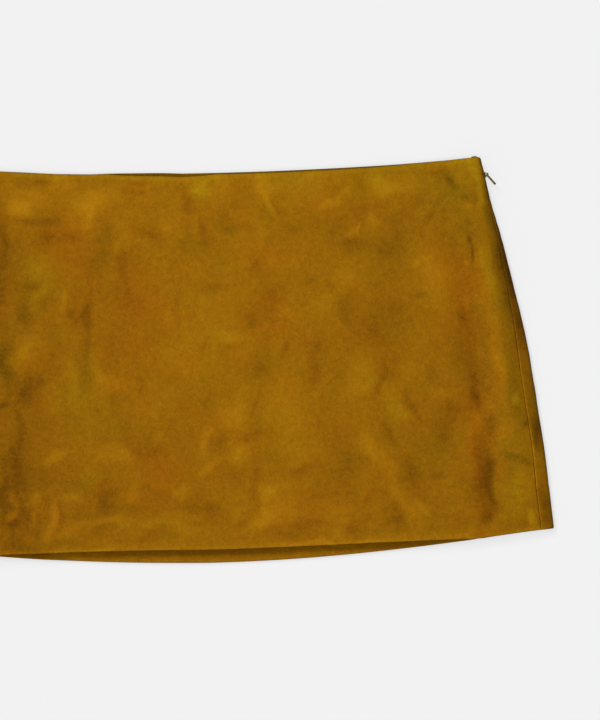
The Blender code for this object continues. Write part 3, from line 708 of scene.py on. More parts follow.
STROKES = (
    # along the side seam, where the back comes round
    (226, -31, 5, 3.8, 0, 1.3, -1),
    (233, -112, 5, 3, 0, 0.9, -1),
    # along the waist
    (-121, 110, 6.5, 11, 0, 1, 0.2),
    (-36, 126.5, 2, 8, 0, -0.6, 0.9),
    (6.5, 121, 6, 6, 0, 0.8, -1),
    (50, 121, 10, 5, 8, 0.9, 0.1),
    (97, 109, 9, 3, -56, 0.9, -0.1),
    (132.5, 122, 7.6, 8.5, 0, 1, -0.7),
    (173, 131, 2, 6, 12, -0.4, 1.3),
    (190, 113, 10, 4.2, 60, -0.7, -0.6),
    (198, 130, 8, 3, 20, 0.7, -0.4),
    # Lighter down the fold's outer side below the waist corner: painted light
    (201.5, 112, 9, 2.8, 8, 0.7, -0.8),
    # upper half
    (168, 98, 8, 2.4, -40, -0.6, 0.3),
    (161, 66, 10, 2.6, -60, 0.7, -0.1),
    (-73, 34, 11, 3, -3, -1, 0.6),
    (25, 18, 4.6, 16, 0, 0.4, -0.7),
    (65, 9, 7, 3.2, -20, -0.7, 0.4),
    (159, 43, 4, 3, 0, -0.8, 0),
    (188.5, 28, 8.5, 3.2, 0, -0.8, 0.9),
    (-17, 94, 6, 5, 0, 0.4, 0.5),
    (129, 97, 4, 3.6, 0, 0.8, -0.2),
    (194.5, 102, 3, 3, 0, 0.6, -0.6),
    # lower half
    (9, -74, 10, 4, -62, 0.7, 0.2),
    (84, -10, 13, 3.6, 0, -0.6, 0.6),
    (117, -13, 15, 9.5, 8, 0.6, -0.5),
    (-137, -28, 2.4, 8, 0, -1, 0),
    (-98, -65, 9, 3.8, -72, 0.9, -0.4),
    (-56, -64, 5.4, 13, 0, 0.7, 0.3),
    (207, -31, 9, 4, 30, 0.4, 0.2),
    (195, -48, 11, 3.6, 0, 0.5, 0.8),
    (141, -31, 14, 5.4, 25, 0.6, -0.5),
    (152, -34, 11, 3.6, 22, -0.7, 0.2),
    (131, -14, 17, 2.4, -12, -0.5, 0.3),
    (8, -57, 12, 3, -6, 0.7, 0.1),
    # along the hem
    # Darker along the crease that rises from the hem on the zip's side: partly painted shade
    (207, -88, 20, 3.6, 5, -1.1, -0.1),
    (158, -107, 9, 2.6, 36, 0.8, -0.3),
    (-127.5, -95, 7, 2.4, 14, 1.1, -0.3),
    (-130, -106, 6, 2.8, -42, 1.1, -0.4),
    (-110, -91, 3.8, 3.2, 0, 0.8, -0.3),
    (-115, -107, 7, 2, -14, 0.7, 0),
    (-101, -108, 17, 2.6, -8, 0.9, -0.2),
    (-87, -94, 3.2, 9, 0, 0.8, -0.4),
    (-96, -107.5, 4, 2.6, 0, -0.7, 1.4),
    (-68, -110, 2.8, 17, -2, 0.8, -0.2),
    (-25, -110, 4, 16, 0, 0.4, -0.8),
    (-9, -91, 8, 4, -52, 0.6, -0.3),
    (-8, -116, 4, 9, 0, 0.5, 0),
    (79, -114, 3.6, 18, -8, -0.7, 0.8),
    (96, -103, 4.4, 11, -6, 0.4, -0.4),
    # A painted highlight along the front's hem edge
    (-70, -129.6, 2.4, 13, 0, 0.6, -0.2),
    # beyond the other side fold's trough
    # Darker along the crease that rises from the hem on the plain side: partly painted shade
    (-205, -82, 26, 4.6, -4, -1, 0.2),
    (-160, 112, 7, 12, 8, 0.6, -0.4),
    (-176, 96, 9, 3.2, 36, -0.6, 0.2),
    (-168, -6, 24, 5, -18, 0.5, -0.2),
    (-181, -74, 12, 4, -34, 0.6, -0.2),
    (-170, -108, 4, 14, 4, 0.6, -0.2),
)
BLOT_POWER = 1
STROKE_POWER = 2
OUTLINE_SWAY = 1.5
OUTLINE_RAG = 1.0


def nap_marks_and_painted_light(x, y):
    """Lightness and warmth of the marks: oval bells, whose exponent is squared for the strokes.

    Sine waves shift the points first, a long sway and a finer rag, and so make the outlines uneven.
    """
    uneven_x = x + OUTLINE_SWAY * np.sin(y / 5.1 + 0.7) + OUTLINE_RAG * np.sin(x / 3.7 + y / 8.3)
    uneven_y = y + OUTLINE_SWAY * np.sin(x / 5.7 + 2.1) + OUTLINE_RAG * np.sin(y / 4.1 - x / 9.1)
    light = np.zeros_like(x)
    warm = np.zeros_like(x)
    powers = [BLOT_POWER] * len(BLOTS) + [STROKE_POWER] * len(STROKES)
    for power, row in zip(powers, BLOTS + STROKES):
        mark = dict(zip(MARK_COLUMNS, row))
        along, across = from_middle(mark, uneven_x, uneven_y)
        strength = np.exp(-((along**2 + across**2) ** power))
        light += mark["light"] * strength
        warm += mark["warm"] * strength
    return light, warm


def placed(name, data):
    """An object of a mesh, a light or a camera, added to the scene."""
    made = bpy.data.objects.new(name, data)
    bpy.context.scene.collection.objects.link(made)
    return made


def surface(name, points, faces, finish):
    """A smooth mesh in metres from points in millimetres."""
    mesh = bpy.data.meshes.new(name)
    mesh.from_pydata((points * MM).tolist(), [], faces)
    mesh.shade_smooth()
    mesh.materials.append(finish)
    return placed(name, mesh)


def closed_shell(name, outer, inner, nap, finish):
    """A closed mesh from two grids that are joined round their rims, with the nap's marks and painted shade
    and light on its points.
    """
    rows, columns = outer.shape[:2]
    index = np.arange(rows * columns).reshape(rows, columns)
    other = index + rows * columns
    top = np.stack([index[:-1, :-1], index[:-1, 1:], index[1:, 1:], index[1:, :-1]], axis=-1)
    under = np.stack([other[:-1, :-1], other[1:, :-1], other[1:, 1:], other[:-1, 1:]], axis=-1)
    rim = np.concatenate([index[0, :], index[1:, -1], index[-1, -2::-1], index[-2:0:-1, 0]])
    ahead = np.roll(rim, -1)
    edge = np.stack([ahead, rim, rim + rows * columns, ahead + rows * columns], axis=-1)
    faces = np.concatenate([top.reshape(-1, 4), under.reshape(-1, 4), edge])
    points = np.concatenate([outer.reshape(-1, 3), inner.reshape(-1, 3)])
    made = surface(name, points, faces.tolist(), finish)
    both = np.concatenate([nap.reshape(-1, 3), nap.reshape(-1, 3)])
    marks = made.data.attributes.new("nap", "FLOAT_VECTOR", "POINT")
    marks.data.foreach_set("vector", both.ravel().astype(np.float32))
    return made


def linear(hex_colour):
    """sRGB hex to the renderer's linear values."""
    code = np.array([int(hex_colour[i:i + 2], 16) for i in (1, 3, 5)]) / 255
    value = np.where(code <= 0.04045, code / 12.92, ((code + 0.055) / 1.055) ** 2.4)
    return (*value.tolist(), 1.0)


def new_material(name):
    """An empty node material with its Principled shader."""
    made = bpy.data.materials.new(name)
    made.use_nodes = True
    return made, made.node_tree.nodes["Principled BSDF"]


def feed(material, made, inputs):
    """Puts values or other nodes' outputs on a node's inputs."""
    for key, value in inputs.items():
        if isinstance(value, bpy.types.NodeSocket):
            material.node_tree.links.new(value, made.inputs[key])
        else:
            made.inputs[key].default_value = value


def node(material, kind, inputs=None, **settings):
    """Adds a node with its settings and inputs."""
    made = material.node_tree.nodes.new("ShaderNode" + kind)
    for name, value in settings.items():
        setattr(made, name, value)
    feed(material, made, inputs or {})
    return made


# Calf suede, split and buffed: a short dull nap that takes brush marks, mottled from olive to rust
SUEDE_TONES = (
    (0.0, "#4A3003"),
    (0.25, "#6E4805"),
    (0.5, "#926008"),
    (0.75, "#AC770E"),
    (1.0, "#CC9A1E"),
)
OLIVE_TINT = (0.90, 1.09, 0.68, 1.0)
RUST_TINT = (1.09, 0.89, 0.74, 1.0)
SUEDE_SHEEN = "#D8A45A"

# Layers of tone, from the whole hide's clouds down to the nap. Its fibres are under 0.1 mm, too fine to
# show, so they are drawn as tufts.
CLOUD_SIZE = 42.0
PATCH_SIZE = 13.0
SMUDGE_SIZE = 11.0
SMUDGE_SOFTNESS = 0.35
SMUDGE_BEND = 8.0
SMUDGE_BEND_SIZE = 9.0
MOTTLE_SIZE = 4.2
GRAIN_SIZE = 1.5
TUFT_WIDTH = 0.6
TUFT_LENGTH = 2.2
WARMTH_SIZE = 29.4

# How much of the whole range of tone each layer and each kind of mark takes up
LAYER_TONES = {
    "clouds": 0.08,
    "patches": 0.07,
    "smudges": 0.04,
    "mottle": 0.25,
    "grain": 0.28,
    "tufts": 0.14,
}
MARK_TONE = 0.16
EDGE_WEAR_AND_PAINTED_LIGHT_TONE = 0.14
FINE_MARK_TONE = 0.11

# The same for the tint between olive and rust, and for the relief of the nap
WARMTH_TINT = 0.8
WARMTH_START = 0.1
MARK_TINT = 0.26
LAYER_RELIEFS = {"grain": 0.6, "tufts": 0.25, "mottle": 0.8}
RELIEF_DEPTH = 0.25
GRAIN_DULLING = -0.15

# Marks that are finer than the mesh: a scratch, brushed strokes, and painted shade along fine creases, the
# rows that darken
FINE_MARK_COLUMNS = ("x", "y", "half_length", "half_width", "turn", "light")
FINE_MARKS = (
    (117, 92, 6, 1.2, -22, 2),
    (194.7, 82, 4, 2.2, 20, -2),
    (196.5, 73, 8, 1.6, 4, -2.4),
    (192, 66.5, 3.6, 2, 20, 1.3),
    (177, 108, 10, 1, -40, 0.9),
    (160.5, -72, 1.6, 1.4, 0, 1.4),
    (56, 107, 12, 3, 28, 1.4),
    (107, 117, 8, 1.6, -45, 0.7),
    (42, -32, 18, 2, -20, -0.9),
    (224, -90, 16, 1.5, 75, -0.7),
    (224, -69, 14, 1.5, 72, -0.6),
)


def suede():
    """A sum of noise layers and marks, coloured by the tones and tinted between olive and rust."""
    made, shader = new_material("calf_suede_buffed")
    place = node(made, "TexCoord").outputs["Object"]
    painted = node(made, "Attribute", attribute_name="nap").outputs["Vector"]
    marks = node(made, "SeparateXYZ", {0: painted})

    def noise(size, detail, roughness, vector=place):
        scales = {"Vector": vector, "Scale": 1 / (size * MM), "Detail": detail, "Roughness": roughness}
        return node(made, "TexNoise", scales).outputs[0]

    def add(value, amount, total):
        return node(made, "Math", {0: value, 1: amount, 2: total}, operation="MULTIPLY_ADD").outputs[0]

    bend = {"Vector": place, "Scale": 1 / (SMUDGE_BEND_SIZE * MM), "Detail": 1.0}
    bend = {0: node(made, "TexNoise", bend).outputs[1], 1: (SMUDGE_BEND * MM,) * 3, 2: place}
    bent = node(made, "VectorMath", bend, operation="MULTIPLY_ADD").outputs[0]
    cells = {"Vector": bent, "Scale": 1 / (SMUDGE_SIZE * MM), "Smoothness": SMUDGE_SOFTNESS}
    cells = node(made, "TexVoronoi", cells, feature="SMOOTH_F1").outputs["Color"]
    combed = {0: place, "Scale": (1.0, TUFT_WIDTH / TUFT_LENGTH, 1.0)}
    layers = {
        "clouds": noise(CLOUD_SIZE, 2.0, 0.5),
        "patches": noise(PATCH_SIZE, 2.0, 0.55),
        "smudges": node(made, "SeparateXYZ", {0: cells}).outputs[0],
        "mottle": noise(MOTTLE_SIZE, 2.0, 0.6),
        "grain": noise(GRAIN_SIZE, 2.0, 0.65),
        "tufts": noise(TUFT_WIDTH, 1.0, 0.5, node(made, "Mapping", combed).outputs[0]),
    }
    tone = 0.5 - 0.5 * sum(LAYER_TONES.values())
    for name, amount in LAYER_TONES.items():
        tone = add(layers[name], amount, tone)
    tone = add(marks.outputs["X"], MARK_TONE, tone)
    # The third channel: edges lighter by wear and painted highlight, and painted shade inside the back's
    # waist
    tone = add(marks.outputs["Z"], EDGE_WEAR_AND_PAINTED_LIGHT_TONE, tone)
    for row in FINE_MARKS:
        mark = dict(zip(FINE_MARK_COLUMNS, row))
        centred = {
            0: place,
            "Location": (mark["x"] * MM, mark["y"] * MM, 0.0),
            "Rotation": (0.0, 0.0, math.radians(mark["turn"])),
            "Scale": (mark["half_width"] * MM, mark["half_length"] * MM, 1.0),
        }
        oval = node(made, "Mapping", centred, vector_type="TEXTURE").outputs[0]
        spot = node(made, "TexGradient", {0: oval}, gradient_type="SPHERICAL").outputs[1]
        tone = add(spot, FINE_MARK_TONE * mark["light"], tone)

    ramp = node(made, "ValToRGB", {0: tone})
    stops = ramp.color_ramp.elements
    while len(stops) < len(SUEDE_TONES):
        stops.new(0.5)
    for stop, (position, colour) in zip(stops, SUEDE_TONES):
        stop.position = position
        stop.color = linear(colour)

    apart = node(made, "Mapping", {0: place, 1: (0.3, 0.2, 0.5)}).outputs[0]
    warmth = add(noise(WARMTH_SIZE, 3.0, 0.55, apart), WARMTH_TINT, WARMTH_START)
    warmth = add(marks.outputs["Y"], MARK_TINT, warmth)
    tint = node(made, "Mix", {0: warmth, 6: OLIVE_TINT, 7: RUST_TINT}, data_type="RGBA").outputs[2]
    mixed = {0: 1.0, 6: ramp.outputs[0], 7: tint}
    coloured = node(made, "Mix", mixed, data_type="RGBA", blend_type="MULTIPLY").outputs[2]

    height = 0.0
    for name, amount in LAYER_RELIEFS.items():
        height = add(layers[name], amount, height)
    relief = {"Height": height, "Distance": RELIEF_DEPTH * MM, "Strength": 1.0}
    feed(made, shader, {
        "Base Color": coloured,
        "Normal": node(made, "Bump", relief).outputs[0],
        "Roughness": add(layers["grain"], GRAIN_DULLING, 1.0),
        "Specular IOR Level": 0.04,
        "Sheen Weight": 0.12,
        "Sheen Roughness": 0.5,
        "Sheen Tint": linear(SUEDE_SHEEN),
    })
    return made


suede_finish = suede()


def panel_shell(name, columns, lines, over_front):
    """A panel's outer face, moved by its unevenness, with its inner face one wall inside it."""
    share, seam, along, side = panel_grid(*columns, over_front)
    outer, inward, from_hem, from_waist = cloth_points(along, share, side, lines)
    x, y, z = np.moveaxis(outer, -1, 0)
    clear_of_edge = 1 - ease(np.minimum(from_hem, from_waist) / CALM_BY_EDGE)
    clear_of_seam = 1 - ease(seam / CALM_BY_SEAM)
    rise = swells(x, y) * (CALMEST + (1 - CALMEST) * clear_of_edge) * clear_of_seam + puckers(seam, y)
    if over_front:
        rise += turned_edge_lines(x, from_hem, from_waist) + soft_humps(CREASES, x, y)
        rise += hem_curl(x, from_hem)
    else:
        rise *= np.clip(z / CALM_BY_FLOOR, 0, 1)
    outer = outer - inward * rise[..., None]
    thickness = wall_thickness(seam, from_hem, from_waist)
    half = nose(np.minimum(from_hem, from_waist), EDGE_ROUND) * nose(seam, LIP_ROUND) * 2
    light, warm = nap_marks_and_painted_light(x, y)
    warm -= WAIST_OLIVE * np.exp(-from_waist / WAIST_OLIVE_REACH)
    # Edges lighter by wear and painted highlight, and painted shade inside the back's waist
    edge_wear_highlight_shade = rubbed_and_painted_edges(seam, from_hem, from_waist, over_front)
    faces = [outer + inward * (thickness * (0.5 + sign * half))[..., None] for sign in (-1, 1)]
    nap = np.stack([light, warm, edge_wear_highlight_shade], axis=-1)
    if not over_front:
        faces = [face[::-1] for face in faces]
        nap = nap[::-1]
    made = closed_shell(name, *faces, nap, suede_finish)
    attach(made, "skirt")
    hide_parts(name)
    return made


# Edges lighter, partly rubbed by wear and partly a painted highlight, and painted shade in the hollow inside
# the waist of the back
FRONT_WEAR_AND_HIGHLIGHT = {"hem": 1.1, "waist": 0.6, "lip": 0.3}
BACK_WEAR_HIGHLIGHT_AND_SHADE = {"hem": 0.5, "waist": -2.4, "lip": 1.0}
HEM_WEAR_AND_HIGHLIGHT_REACH = 1.5
SEAM_WEAR_AND_HIGHLIGHT_REACH = 1.0
WAIST_WEAR_AND_HIGHLIGHT_IN = 2.0
WAIST_WEAR_AND_HIGHLIGHT_REACH = 1.6
WAIST_SHADE_REACH = 4.0

# The nap is more olive along the very edge of the waist
WAIST_OLIVE = 1.7
WAIST_OLIVE_REACH = 2.5

# The lips are lighter below the zip alone, rubbed by wear and with a painted highlight, and this fades in
# over a short stretch above its foot
ZIP_LENGTH = 145.0
LIP_FADE = 24.0


def rubbed_and_painted_edges(seam, from_hem, from_waist, over_front):
    """Falls off exponentially from each edge, and as a bell from a line inside the front's waist: lighter by
    wear and painted highlight, and painted shade inside the back's waist.
    """
    if over_front:
        amount = FRONT_WEAR_AND_HIGHLIGHT
        waist = np.exp(-(((from_waist - WAIST_WEAR_AND_HIGHLIGHT_IN) / WAIST_WEAR_AND_HIGHLIGHT_REACH) ** 2))
    else:
        amount = BACK_WEAR_HIGHLIGHT_AND_SHADE
        waist = np.exp(-from_waist / WAIST_SHADE_REACH)
    hem = np.exp(-from_hem / HEM_WEAR_AND_HIGHLIGHT_REACH)
    lip = np.exp(-seam / SEAM_WEAR_AND_HIGHLIGHT_REACH) * (1 - ease((from_waist - ZIP_LENGTH) / LIP_FADE + 1))
    return amount["hem"] * hem + amount["waist"] * waist + amount["lip"] * lip


back = panel_shell("back_panel", (BACK_FOLD_COLUMNS, BACK_COLUMNS), back_lines, over_front=False)


# ---- Front panel ----
# One piece of suede that lies over the back. It sags between the two side folds, stands a little open
# at the waist and the hem, and shows the long soft folds of a skirt that was worn and smoothed flat.

# How far the front falls short of the back at the hem, with its reach and power on the zip's side and
# on the plain side, and at the waist
HEM_SHORT = 9.6
HEM_SHORT_REACHES = (200.0, 150.0)
HEM_SHORT_POWERS = (2.5, 2.0)
WAIST_EDGE_SHORT = 0.3
WAIST_SHORT_WAVES = ((-22.0, 42.0, -1.4), (55.0, 122.0, -1.0))

FRONT_FOLD_COLUMNS = np.concatenate([LIP_COLUMNS, np.arange(3.2, 20.0, 0.7)])
FRONT_COLUMNS = 106

# Finer creases and dents
CREASES = (
    (194, 78, 12, 2.8, 4, -0.22),
    (183, 117, 17, 6, 22, -0.3),
    (205, -86, 34, 5.5, 3, -0.3),
    (39, -56, 15, 3.2, -20, -0.15),
    (-5, -87, 22, 4.5, -55, 0.15),
    (147, -75, 17, 4.5, 42, -0.2),
    (153, -103, 22, 5.5, 36, 0.2),
    (-102, -112, 20, 3.6, -12, 0.15),
    (-121, -98, 18, 4, -20, -0.15),
    (224, -88, 18, 3, 75, -0.16),
    (221, -66, 15, 3, 72, -0.12),
    (-189, 92, 16, 4, -14, -0.2),
    (-205, -82, 30, 5, -4, -0.3),
    (-160, -70, 20, 4.5, -34, -0.2),
    (-148, 14, 18, 4, 12, 0.15),
)


def front_lines(across):
    """The y of the front's hem and waist, which fall a little short of the back's."""
    hem, waist = back_lines(across)
    x = across * HEM_HALF_WIDTH
    reach = np.where(x > 0, *HEM_SHORT_REACHES)
    power = np.where(x > 0, *HEM_SHORT_POWERS)
    hem = hem + HEM_SHORT * np.clip(1 - np.abs(x / reach) ** power, 0, None)
    return hem, waist - WAIST_EDGE_SHORT + waves(WAIST_SHORT_WAVES, across * WAIST_HALF_WIDTH)


# The hem's edge curls up a little, along all but its ends
HEM_CURL = 1.5
HEM_CURL_REACH = 8.0
HEM_CURL_END = 150.0
HEM_CURL_FADE = 60.0


def hem_curl(x, from_hem):
    """A parabola up to the edge, which dies out towards the sides over half a cosine wave."""
    near = np.clip(1 - from_hem / HEM_CURL_REACH, 0, 1) ** 2
    return HEM_CURL * near * ease((np.abs(x) - HEM_CURL_END) / HEM_CURL_FADE)


# The edge of each turning shows through the suede as a faint step and ridge, stronger in places
TURN_STEP = 0.12
TURN_STEP_RUN = 3.0
TURN_RIDGE = 0.1
TURN_RIDGE_WIDTH = 1.8
TURN_FAINTEST = 0.1


def turned_edge_lines(x, from_hem, from_waist):
    """A step down past the turning and a bell on its edge, both scaled by a slow wave in x."""
    slow = 0.5 + 0.5 * np.sin(x / 29.0 + 1.3 * np.sin(x / 47.0) + 2.2)
    total = np.zeros_like(x)
    for past_turn in (from_hem - HEM_TURN, from_waist - WAIST_TURN):
        total += TURN_STEP * ease(past_turn / TURN_STEP_RUN + 0.5)
        total += TURN_RIDGE * np.exp(-((past_turn / TURN_RIDGE_WIDTH) ** 2))
    return total * (TURN_FAINTEST + (1 - TURN_FAINTEST) * slow)


front = panel_shell("front_panel", (FRONT_FOLD_COLUMNS, FRONT_COLUMNS), front_lines, over_front=True)


# ---- Zip tapes and coil ----
# Woven polyester tapes, dyed brown, sewn under the seam's two lips. A nylon coil joins them: a thread
# wound flat, engaged up to the slider and hidden except where the slider holds the seam open.

COIL_TOP_BELOW_SLIDER = 2.6
COIL_PITCH = 1.15
COIL_DEPTH = 1.9
COIL_HALF_HEIGHT = 0.55
COIL_UNDER_LIP = 0.35
COIL_THREAD_RADIUS = 0.2
COIL_STEPS_PER_TURN = 14
COIL_SIDES = 6

# The tape's threads are 0.45 mm thick, too fine to show, so its ribs are drawn this far apart
TAPE_RIB = 2.8274
TAPE_RELIEF = 0.15


def zip_tape_weave():
    """Ribs crossed by the weft: two sines multiplied. At scale 1 the texture's waves are pi / 10 apart."""
    made, shader = new_material("polyester_zip_tape_woven")
    place = node(made, "TexCoord").outputs["Object"]
    bands = {0: place, "Scale": math.pi / 10 / (TAPE_RIB * MM), "Distortion": 0.4}
    ribs = node(made, "TexWave", bands).outputs[1]
    weft = node(made, "TexWave", bands, bands_direction="Y").outputs[1]
    cloth = node(made, "Math", {0: ribs, 1: weft}, operation="MULTIPLY").outputs[0]
    colours = {0: cloth, 6: linear("#1A0F04"), 7: linear("#33200B")}
    colour = node(made, "Mix", colours, data_type="RGBA").outputs[2]
    bumped = node(made, "Bump", {"Height": cloth, "Distance": TAPE_RELIEF * MM}).outputs[0]
    feed(made, shader, {"Base Color": colour, "Normal": bumped, "Roughness": 0.85})
    return made


def coil_nylon():
    """Extruded nylon thread: smooth, with a soft gloss and small changes from its heat setting."""
    made, shader = new_material("nylon_zip_coil_extruded")
    place = node(made, "TexCoord").outputs["Object"]
    setting = node(made, "TexNoise", {"Vector": place, "Scale": 1 / (3.0 * MM)}).outputs[0]
    colours = {0: setting, 6: linear("#2E1C08"), 7: linear("#553C18")}
    colour = node(made, "Mix", colours, data_type="RGBA").outputs[2]
    feed(made, shader, {"Base Color": colour, "Roughness": 0.4, "IOR": 1.53})
    return made


def tube(name, path, radius, sides, finish):
    """A round thread along a path, its section turned to stay square to it, with closed ends."""
    ahead = np.gradient(path, axis=0)
    ahead /= np.linalg.norm(ahead, axis=1, keepdims=True)
    across = np.cross(ahead, (0.0, 0.0, 1.0))
    across /= np.linalg.norm(across, axis=1, keepdims=True)
    up = np.cross(across, ahead)
    angles = np.arange(sides) * 2 * math.pi / sides
    ring = np.cos(angles)[None, :, None] * across[:, None] + np.sin(angles)[None, :, None] * up[:, None]
    points = (path[:, None] + radius * ring).reshape(-1, 3)
    index = np.arange(len(path) * sides).reshape(-1, sides)
    after = np.roll(index, -1, axis=1)
    walls = np.stack([index[:-1], after[:-1], after[1:], index[1:]], axis=-1).reshape(-1, 4).tolist()
    return surface(name, points, walls + [index[0, ::-1].tolist(), index[-1].tolist()], finish)


def under_seam(share, side, across, depth):
    """Points inside a side seam, at offsets across its line along the cloth and depths under its face."""
    along = section_value("seam_rise", share) + across
    sides = np.full((len(share), 1), side)
    face, inward, _, _ = cloth_points(along[:, None], share, sides, back_lines)
    return (face + inward * depth[:, None, None])[:, 0]


def zip_coil():
    """A flattened helix that climbs the seam inside its lips, a little wider than they stand apart."""
    top = SLIDER_SHARE - COIL_TOP_BELOW_SLIDER / SIDE_LENGTH
    foot = 1 - ZIP_LENGTH / SIDE_LENGTH
    turns = (top - foot) * SIDE_LENGTH / COIL_PITCH
    share = np.linspace(foot, top, int(turns * COIL_STEPS_PER_TURN))
    phase = np.linspace(0, turns * 2 * math.pi, len(share))
    across = (parting(share) + COIL_UNDER_LIP) * np.cos(phase)
    return under_seam(share, 1.0, across, COIL_DEPTH + COIL_HALF_HEIGHT * np.sin(phase))


tape_finish = zip_tape_weave()
for name in ("zip_tape_front", "zip_tape_back"):
    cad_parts[name].material_slots[0].material = tape_finish

coil = tube("zip_coil", zip_coil(), COIL_THREAD_RADIUS, COIL_SIDES, coil_nylon())
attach(coil, "skirt")


# ---- Side seam stitches ----
# Lockstitch in brown thread, pulled down between the two lips: below the zip on its side, and all the
# way up on the other.

STITCH_LENGTH = 3.0
STITCH_DEPTH = 0.75
STITCH_DIP = 0.12
STITCH_HALF_WIDTH = 0.32
STITCH_THREAD_RADIUS = 0.14
STITCH_STEPS = 8
STITCH_SIDES = 6
STITCH_INSET = 2.0


def seam_stitches(side, low, high):
    """One thread from lip to lip: a sine across the seam, and a cosine twice as fast up and down."""
    count = int((high - low) * SIDE_LENGTH / STITCH_LENGTH)
    share = np.linspace(low, high, count * STITCH_STEPS)
    phase = np.linspace(0, count * 2 * math.pi, len(share))
    across = STITCH_HALF_WIDTH * np.sin(phase)
    return under_seam(share, side, across, STITCH_DEPTH + STITCH_DIP * np.cos(2 * phase))


def seam_thread():
    """Spun polyester: matt, with its twist showing as a slight change of tone."""
    made, shader = new_material("polyester_thread_spun")
    place = node(made, "TexCoord").outputs["Object"]
    twist = node(made, "TexNoise", {"Vector": place, "Scale": 1 / (0.5 * MM)}).outputs[0]
    colours = {0: twist, 6: linear("#4A3008"), 7: linear("#77500F")}
    colour = node(made, "Mix", colours, data_type="RGBA").outputs[2]
    feed(made, shader, {"Base Color": colour, "Roughness": 0.8})
    return made


thread_finish = seam_thread()
inset = STITCH_INSET / SIDE_LENGTH
for name, side, high in (
    ("zip_side_stitches", 1.0, 1 - ZIP_LENGTH / SIDE_LENGTH),
    ("plain_side_stitches", -1.0, 1 - inset),
):
    path = seam_stitches(side, inset, high)
    stitches = tube(name, path, STITCH_THREAD_RADIUS, STITCH_SIDES, thread_finish)
    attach(stitches, "skirt")


# ---- Slider and pull ----
# Die-cast zinc, brass plated and aged to a dull greenish gold. The slider's body runs on the coil inside
# the fold, and the pull hangs from the arch on its crown.

METAL_EDGE = 0.12
METAL_EDGE_ANGLE = math.radians(35)
FLAT_ANGLE = math.radians(2)
DOUBLES_APART = 0.001


def aged_brass():
    """Plated brass gone dull: brown in the hollows of its tarnish, and rubbed brighter between them."""
    made, shader = new_material("brass_plating_aged")
    place = node(made, "TexCoord").outputs["Object"]
    tarnish = node(made, "TexNoise", {"Vector": place, "Scale": 1 / (1.6 * MM), "Detail": 3.0}).outputs[0]
    colours = {0: tarnish, 6: linear("#30260E"), 7: linear("#6A5C34")}
    colour = node(made, "Mix", colours, data_type="RGBA").outputs[2]
    rough = node(made, "Math", {0: tarnish, 1: -0.2, 2: 0.5}, operation="MULTIPLY_ADD").outputs[0]
    feed(made, shader, {"Base Color": colour, "Roughness": rough, "Metallic": 1.0})
    return made


def softened(name, body, finish):
    """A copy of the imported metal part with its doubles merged, flat faces joined and edges rounded."""
    mesh = bpy.data.meshes.new(name + "_cast")
    made = placed(name + "_cast", mesh)
    work = bmesh.new()
    work.from_mesh(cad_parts[name].data)
    bmesh.ops.remove_doubles(work, verts=work.verts, dist=DOUBLES_APART * MM)
    bmesh.ops.dissolve_limit(work, angle_limit=FLAT_ANGLE, verts=work.verts, edges=work.edges)
    work.to_mesh(mesh)
    work.free()
    mesh.materials.clear()
    mesh.materials.append(finish)
    mesh.shade_smooth()
    bevel = made.modifiers.new("rounded_edges", "BEVEL")
    bevel.width = METAL_EDGE * MM
    bevel.segments = 2
    bevel.limit_method = "ANGLE"
    bevel.angle_limit = METAL_EDGE_ANGLE
    bevel.harden_normals = True
    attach(made, body)
    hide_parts(name)
    return made


brass = aged_brass()
softened("zip_slider", "skirt", brass)
softened("zip_pull", "pull", brass)


# ---- Floor, lights and camera ----
# A white paper sweep, a soft key light from the top left and a very broad fill from the bottom left. The
# camera looks straight down from two metres, turned a little.

FLOOR_HALF = 4000.0
FLOOR_BELOW = 0.05
PAPER_WHITE = "#F2F2F2"
PAPER_GLOW = 0.86
PAPER_CONTACT = 0.3
PAPER_CONTACT_REACH = 3.5


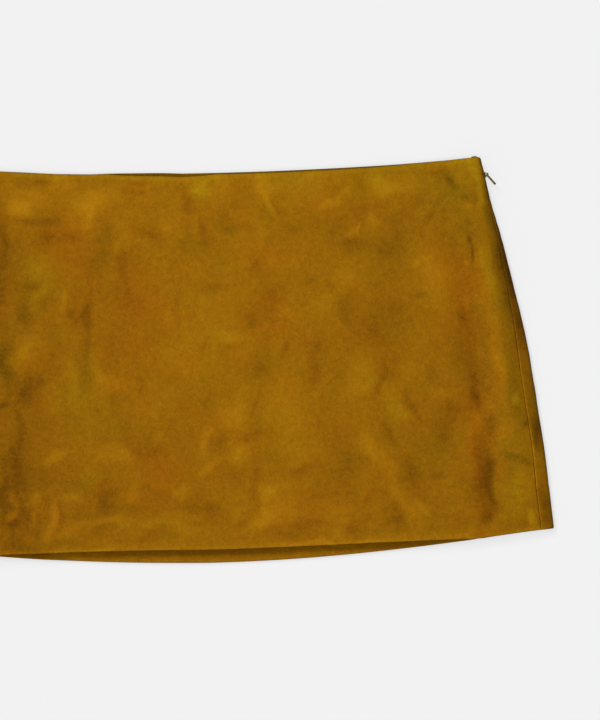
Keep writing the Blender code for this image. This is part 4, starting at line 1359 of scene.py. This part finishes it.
def paper():
    """Matt white paper that glows, which keeps its shadows faint, and glows less close to what lies on it: a
    painted contact shadow.
    """
    made, shader = new_material("paper_sweep_matt")
    colour = linear(PAPER_WHITE)
    lit = (*[value * (1 - PAPER_GLOW) for value in colour[:3]], 1.0)
    near = node(made, "AmbientOcclusion", {"Distance": PAPER_CONTACT_REACH * MM}, samples=8).outputs["AO"]
    glow = {0: near, 1: PAPER_GLOW * PAPER_CONTACT, 2: PAPER_GLOW * (1 - PAPER_CONTACT)}
    glow = node(made, "Math", glow, operation="MULTIPLY_ADD").outputs[0]
    feed(made, shader, {"Base Color": lit, "Roughness": 1.0, "Specular IOR Level": 0.0})
    feed(made, shader, {"Emission Color": colour, "Emission Strength": glow})
    return made


corners = np.array([(-1, -1, 0), (1, -1, 0), (1, 1, 0), (-1, 1, 0)]) * FLOOR_HALF - (0, 0, FLOOR_BELOW)
floor = surface("floor", corners, [(0, 1, 2, 3)], paper())
floor.visible_diffuse = False


def sun(name, towards, strength, angle):
    """A distant light that shines along a direction, the softer the wider its angle is."""
    light = bpy.data.lights.new(name, "SUN")
    light.energy = strength
    light.angle = math.radians(angle)
    direction = np.array(towards) / np.linalg.norm(towards)
    turn = (math.acos(-direction[2]), 0.0, math.atan2(-direction[0], direction[1]))
    placed(name, light).rotation_euler = turn


sun("key", towards=(1.05, -1.5, -1.7), strength=2.5, angle=24.0)
sun("fill", towards=(0.9, 0.8, -1.41), strength=1.855, angle=110.0)

world = bpy.data.worlds.new("studio")
world.use_nodes = True
world.node_tree.nodes["Background"].inputs["Color"].default_value = linear(PAPER_WHITE)
bpy.context.scene.world = world
world.cycles_visibility.diffuse = False
bpy.context.scene.view_settings.view_transform = "Standard"

FRAME_HEIGHT = 504.0
FRAME_CENTRE = (74.6, 0.3, 4.0)
LENS = 150.0
SENSOR = 36.0
ROLL = math.radians(-1.03)

camera = placed("camera", bpy.data.cameras.new("camera"))
camera.data.lens = LENS
camera.data.sensor_width = SENSOR
camera.location = (
    FRAME_CENTRE[0] * MM,
    FRAME_CENTRE[1] * MM,
    (FRAME_CENTRE[2] + FRAME_HEIGHT * LENS / SENSOR) * MM,
)
camera.rotation_euler = (0.0, 0.0, ROLL)
bpy.context.scene.camera = camera
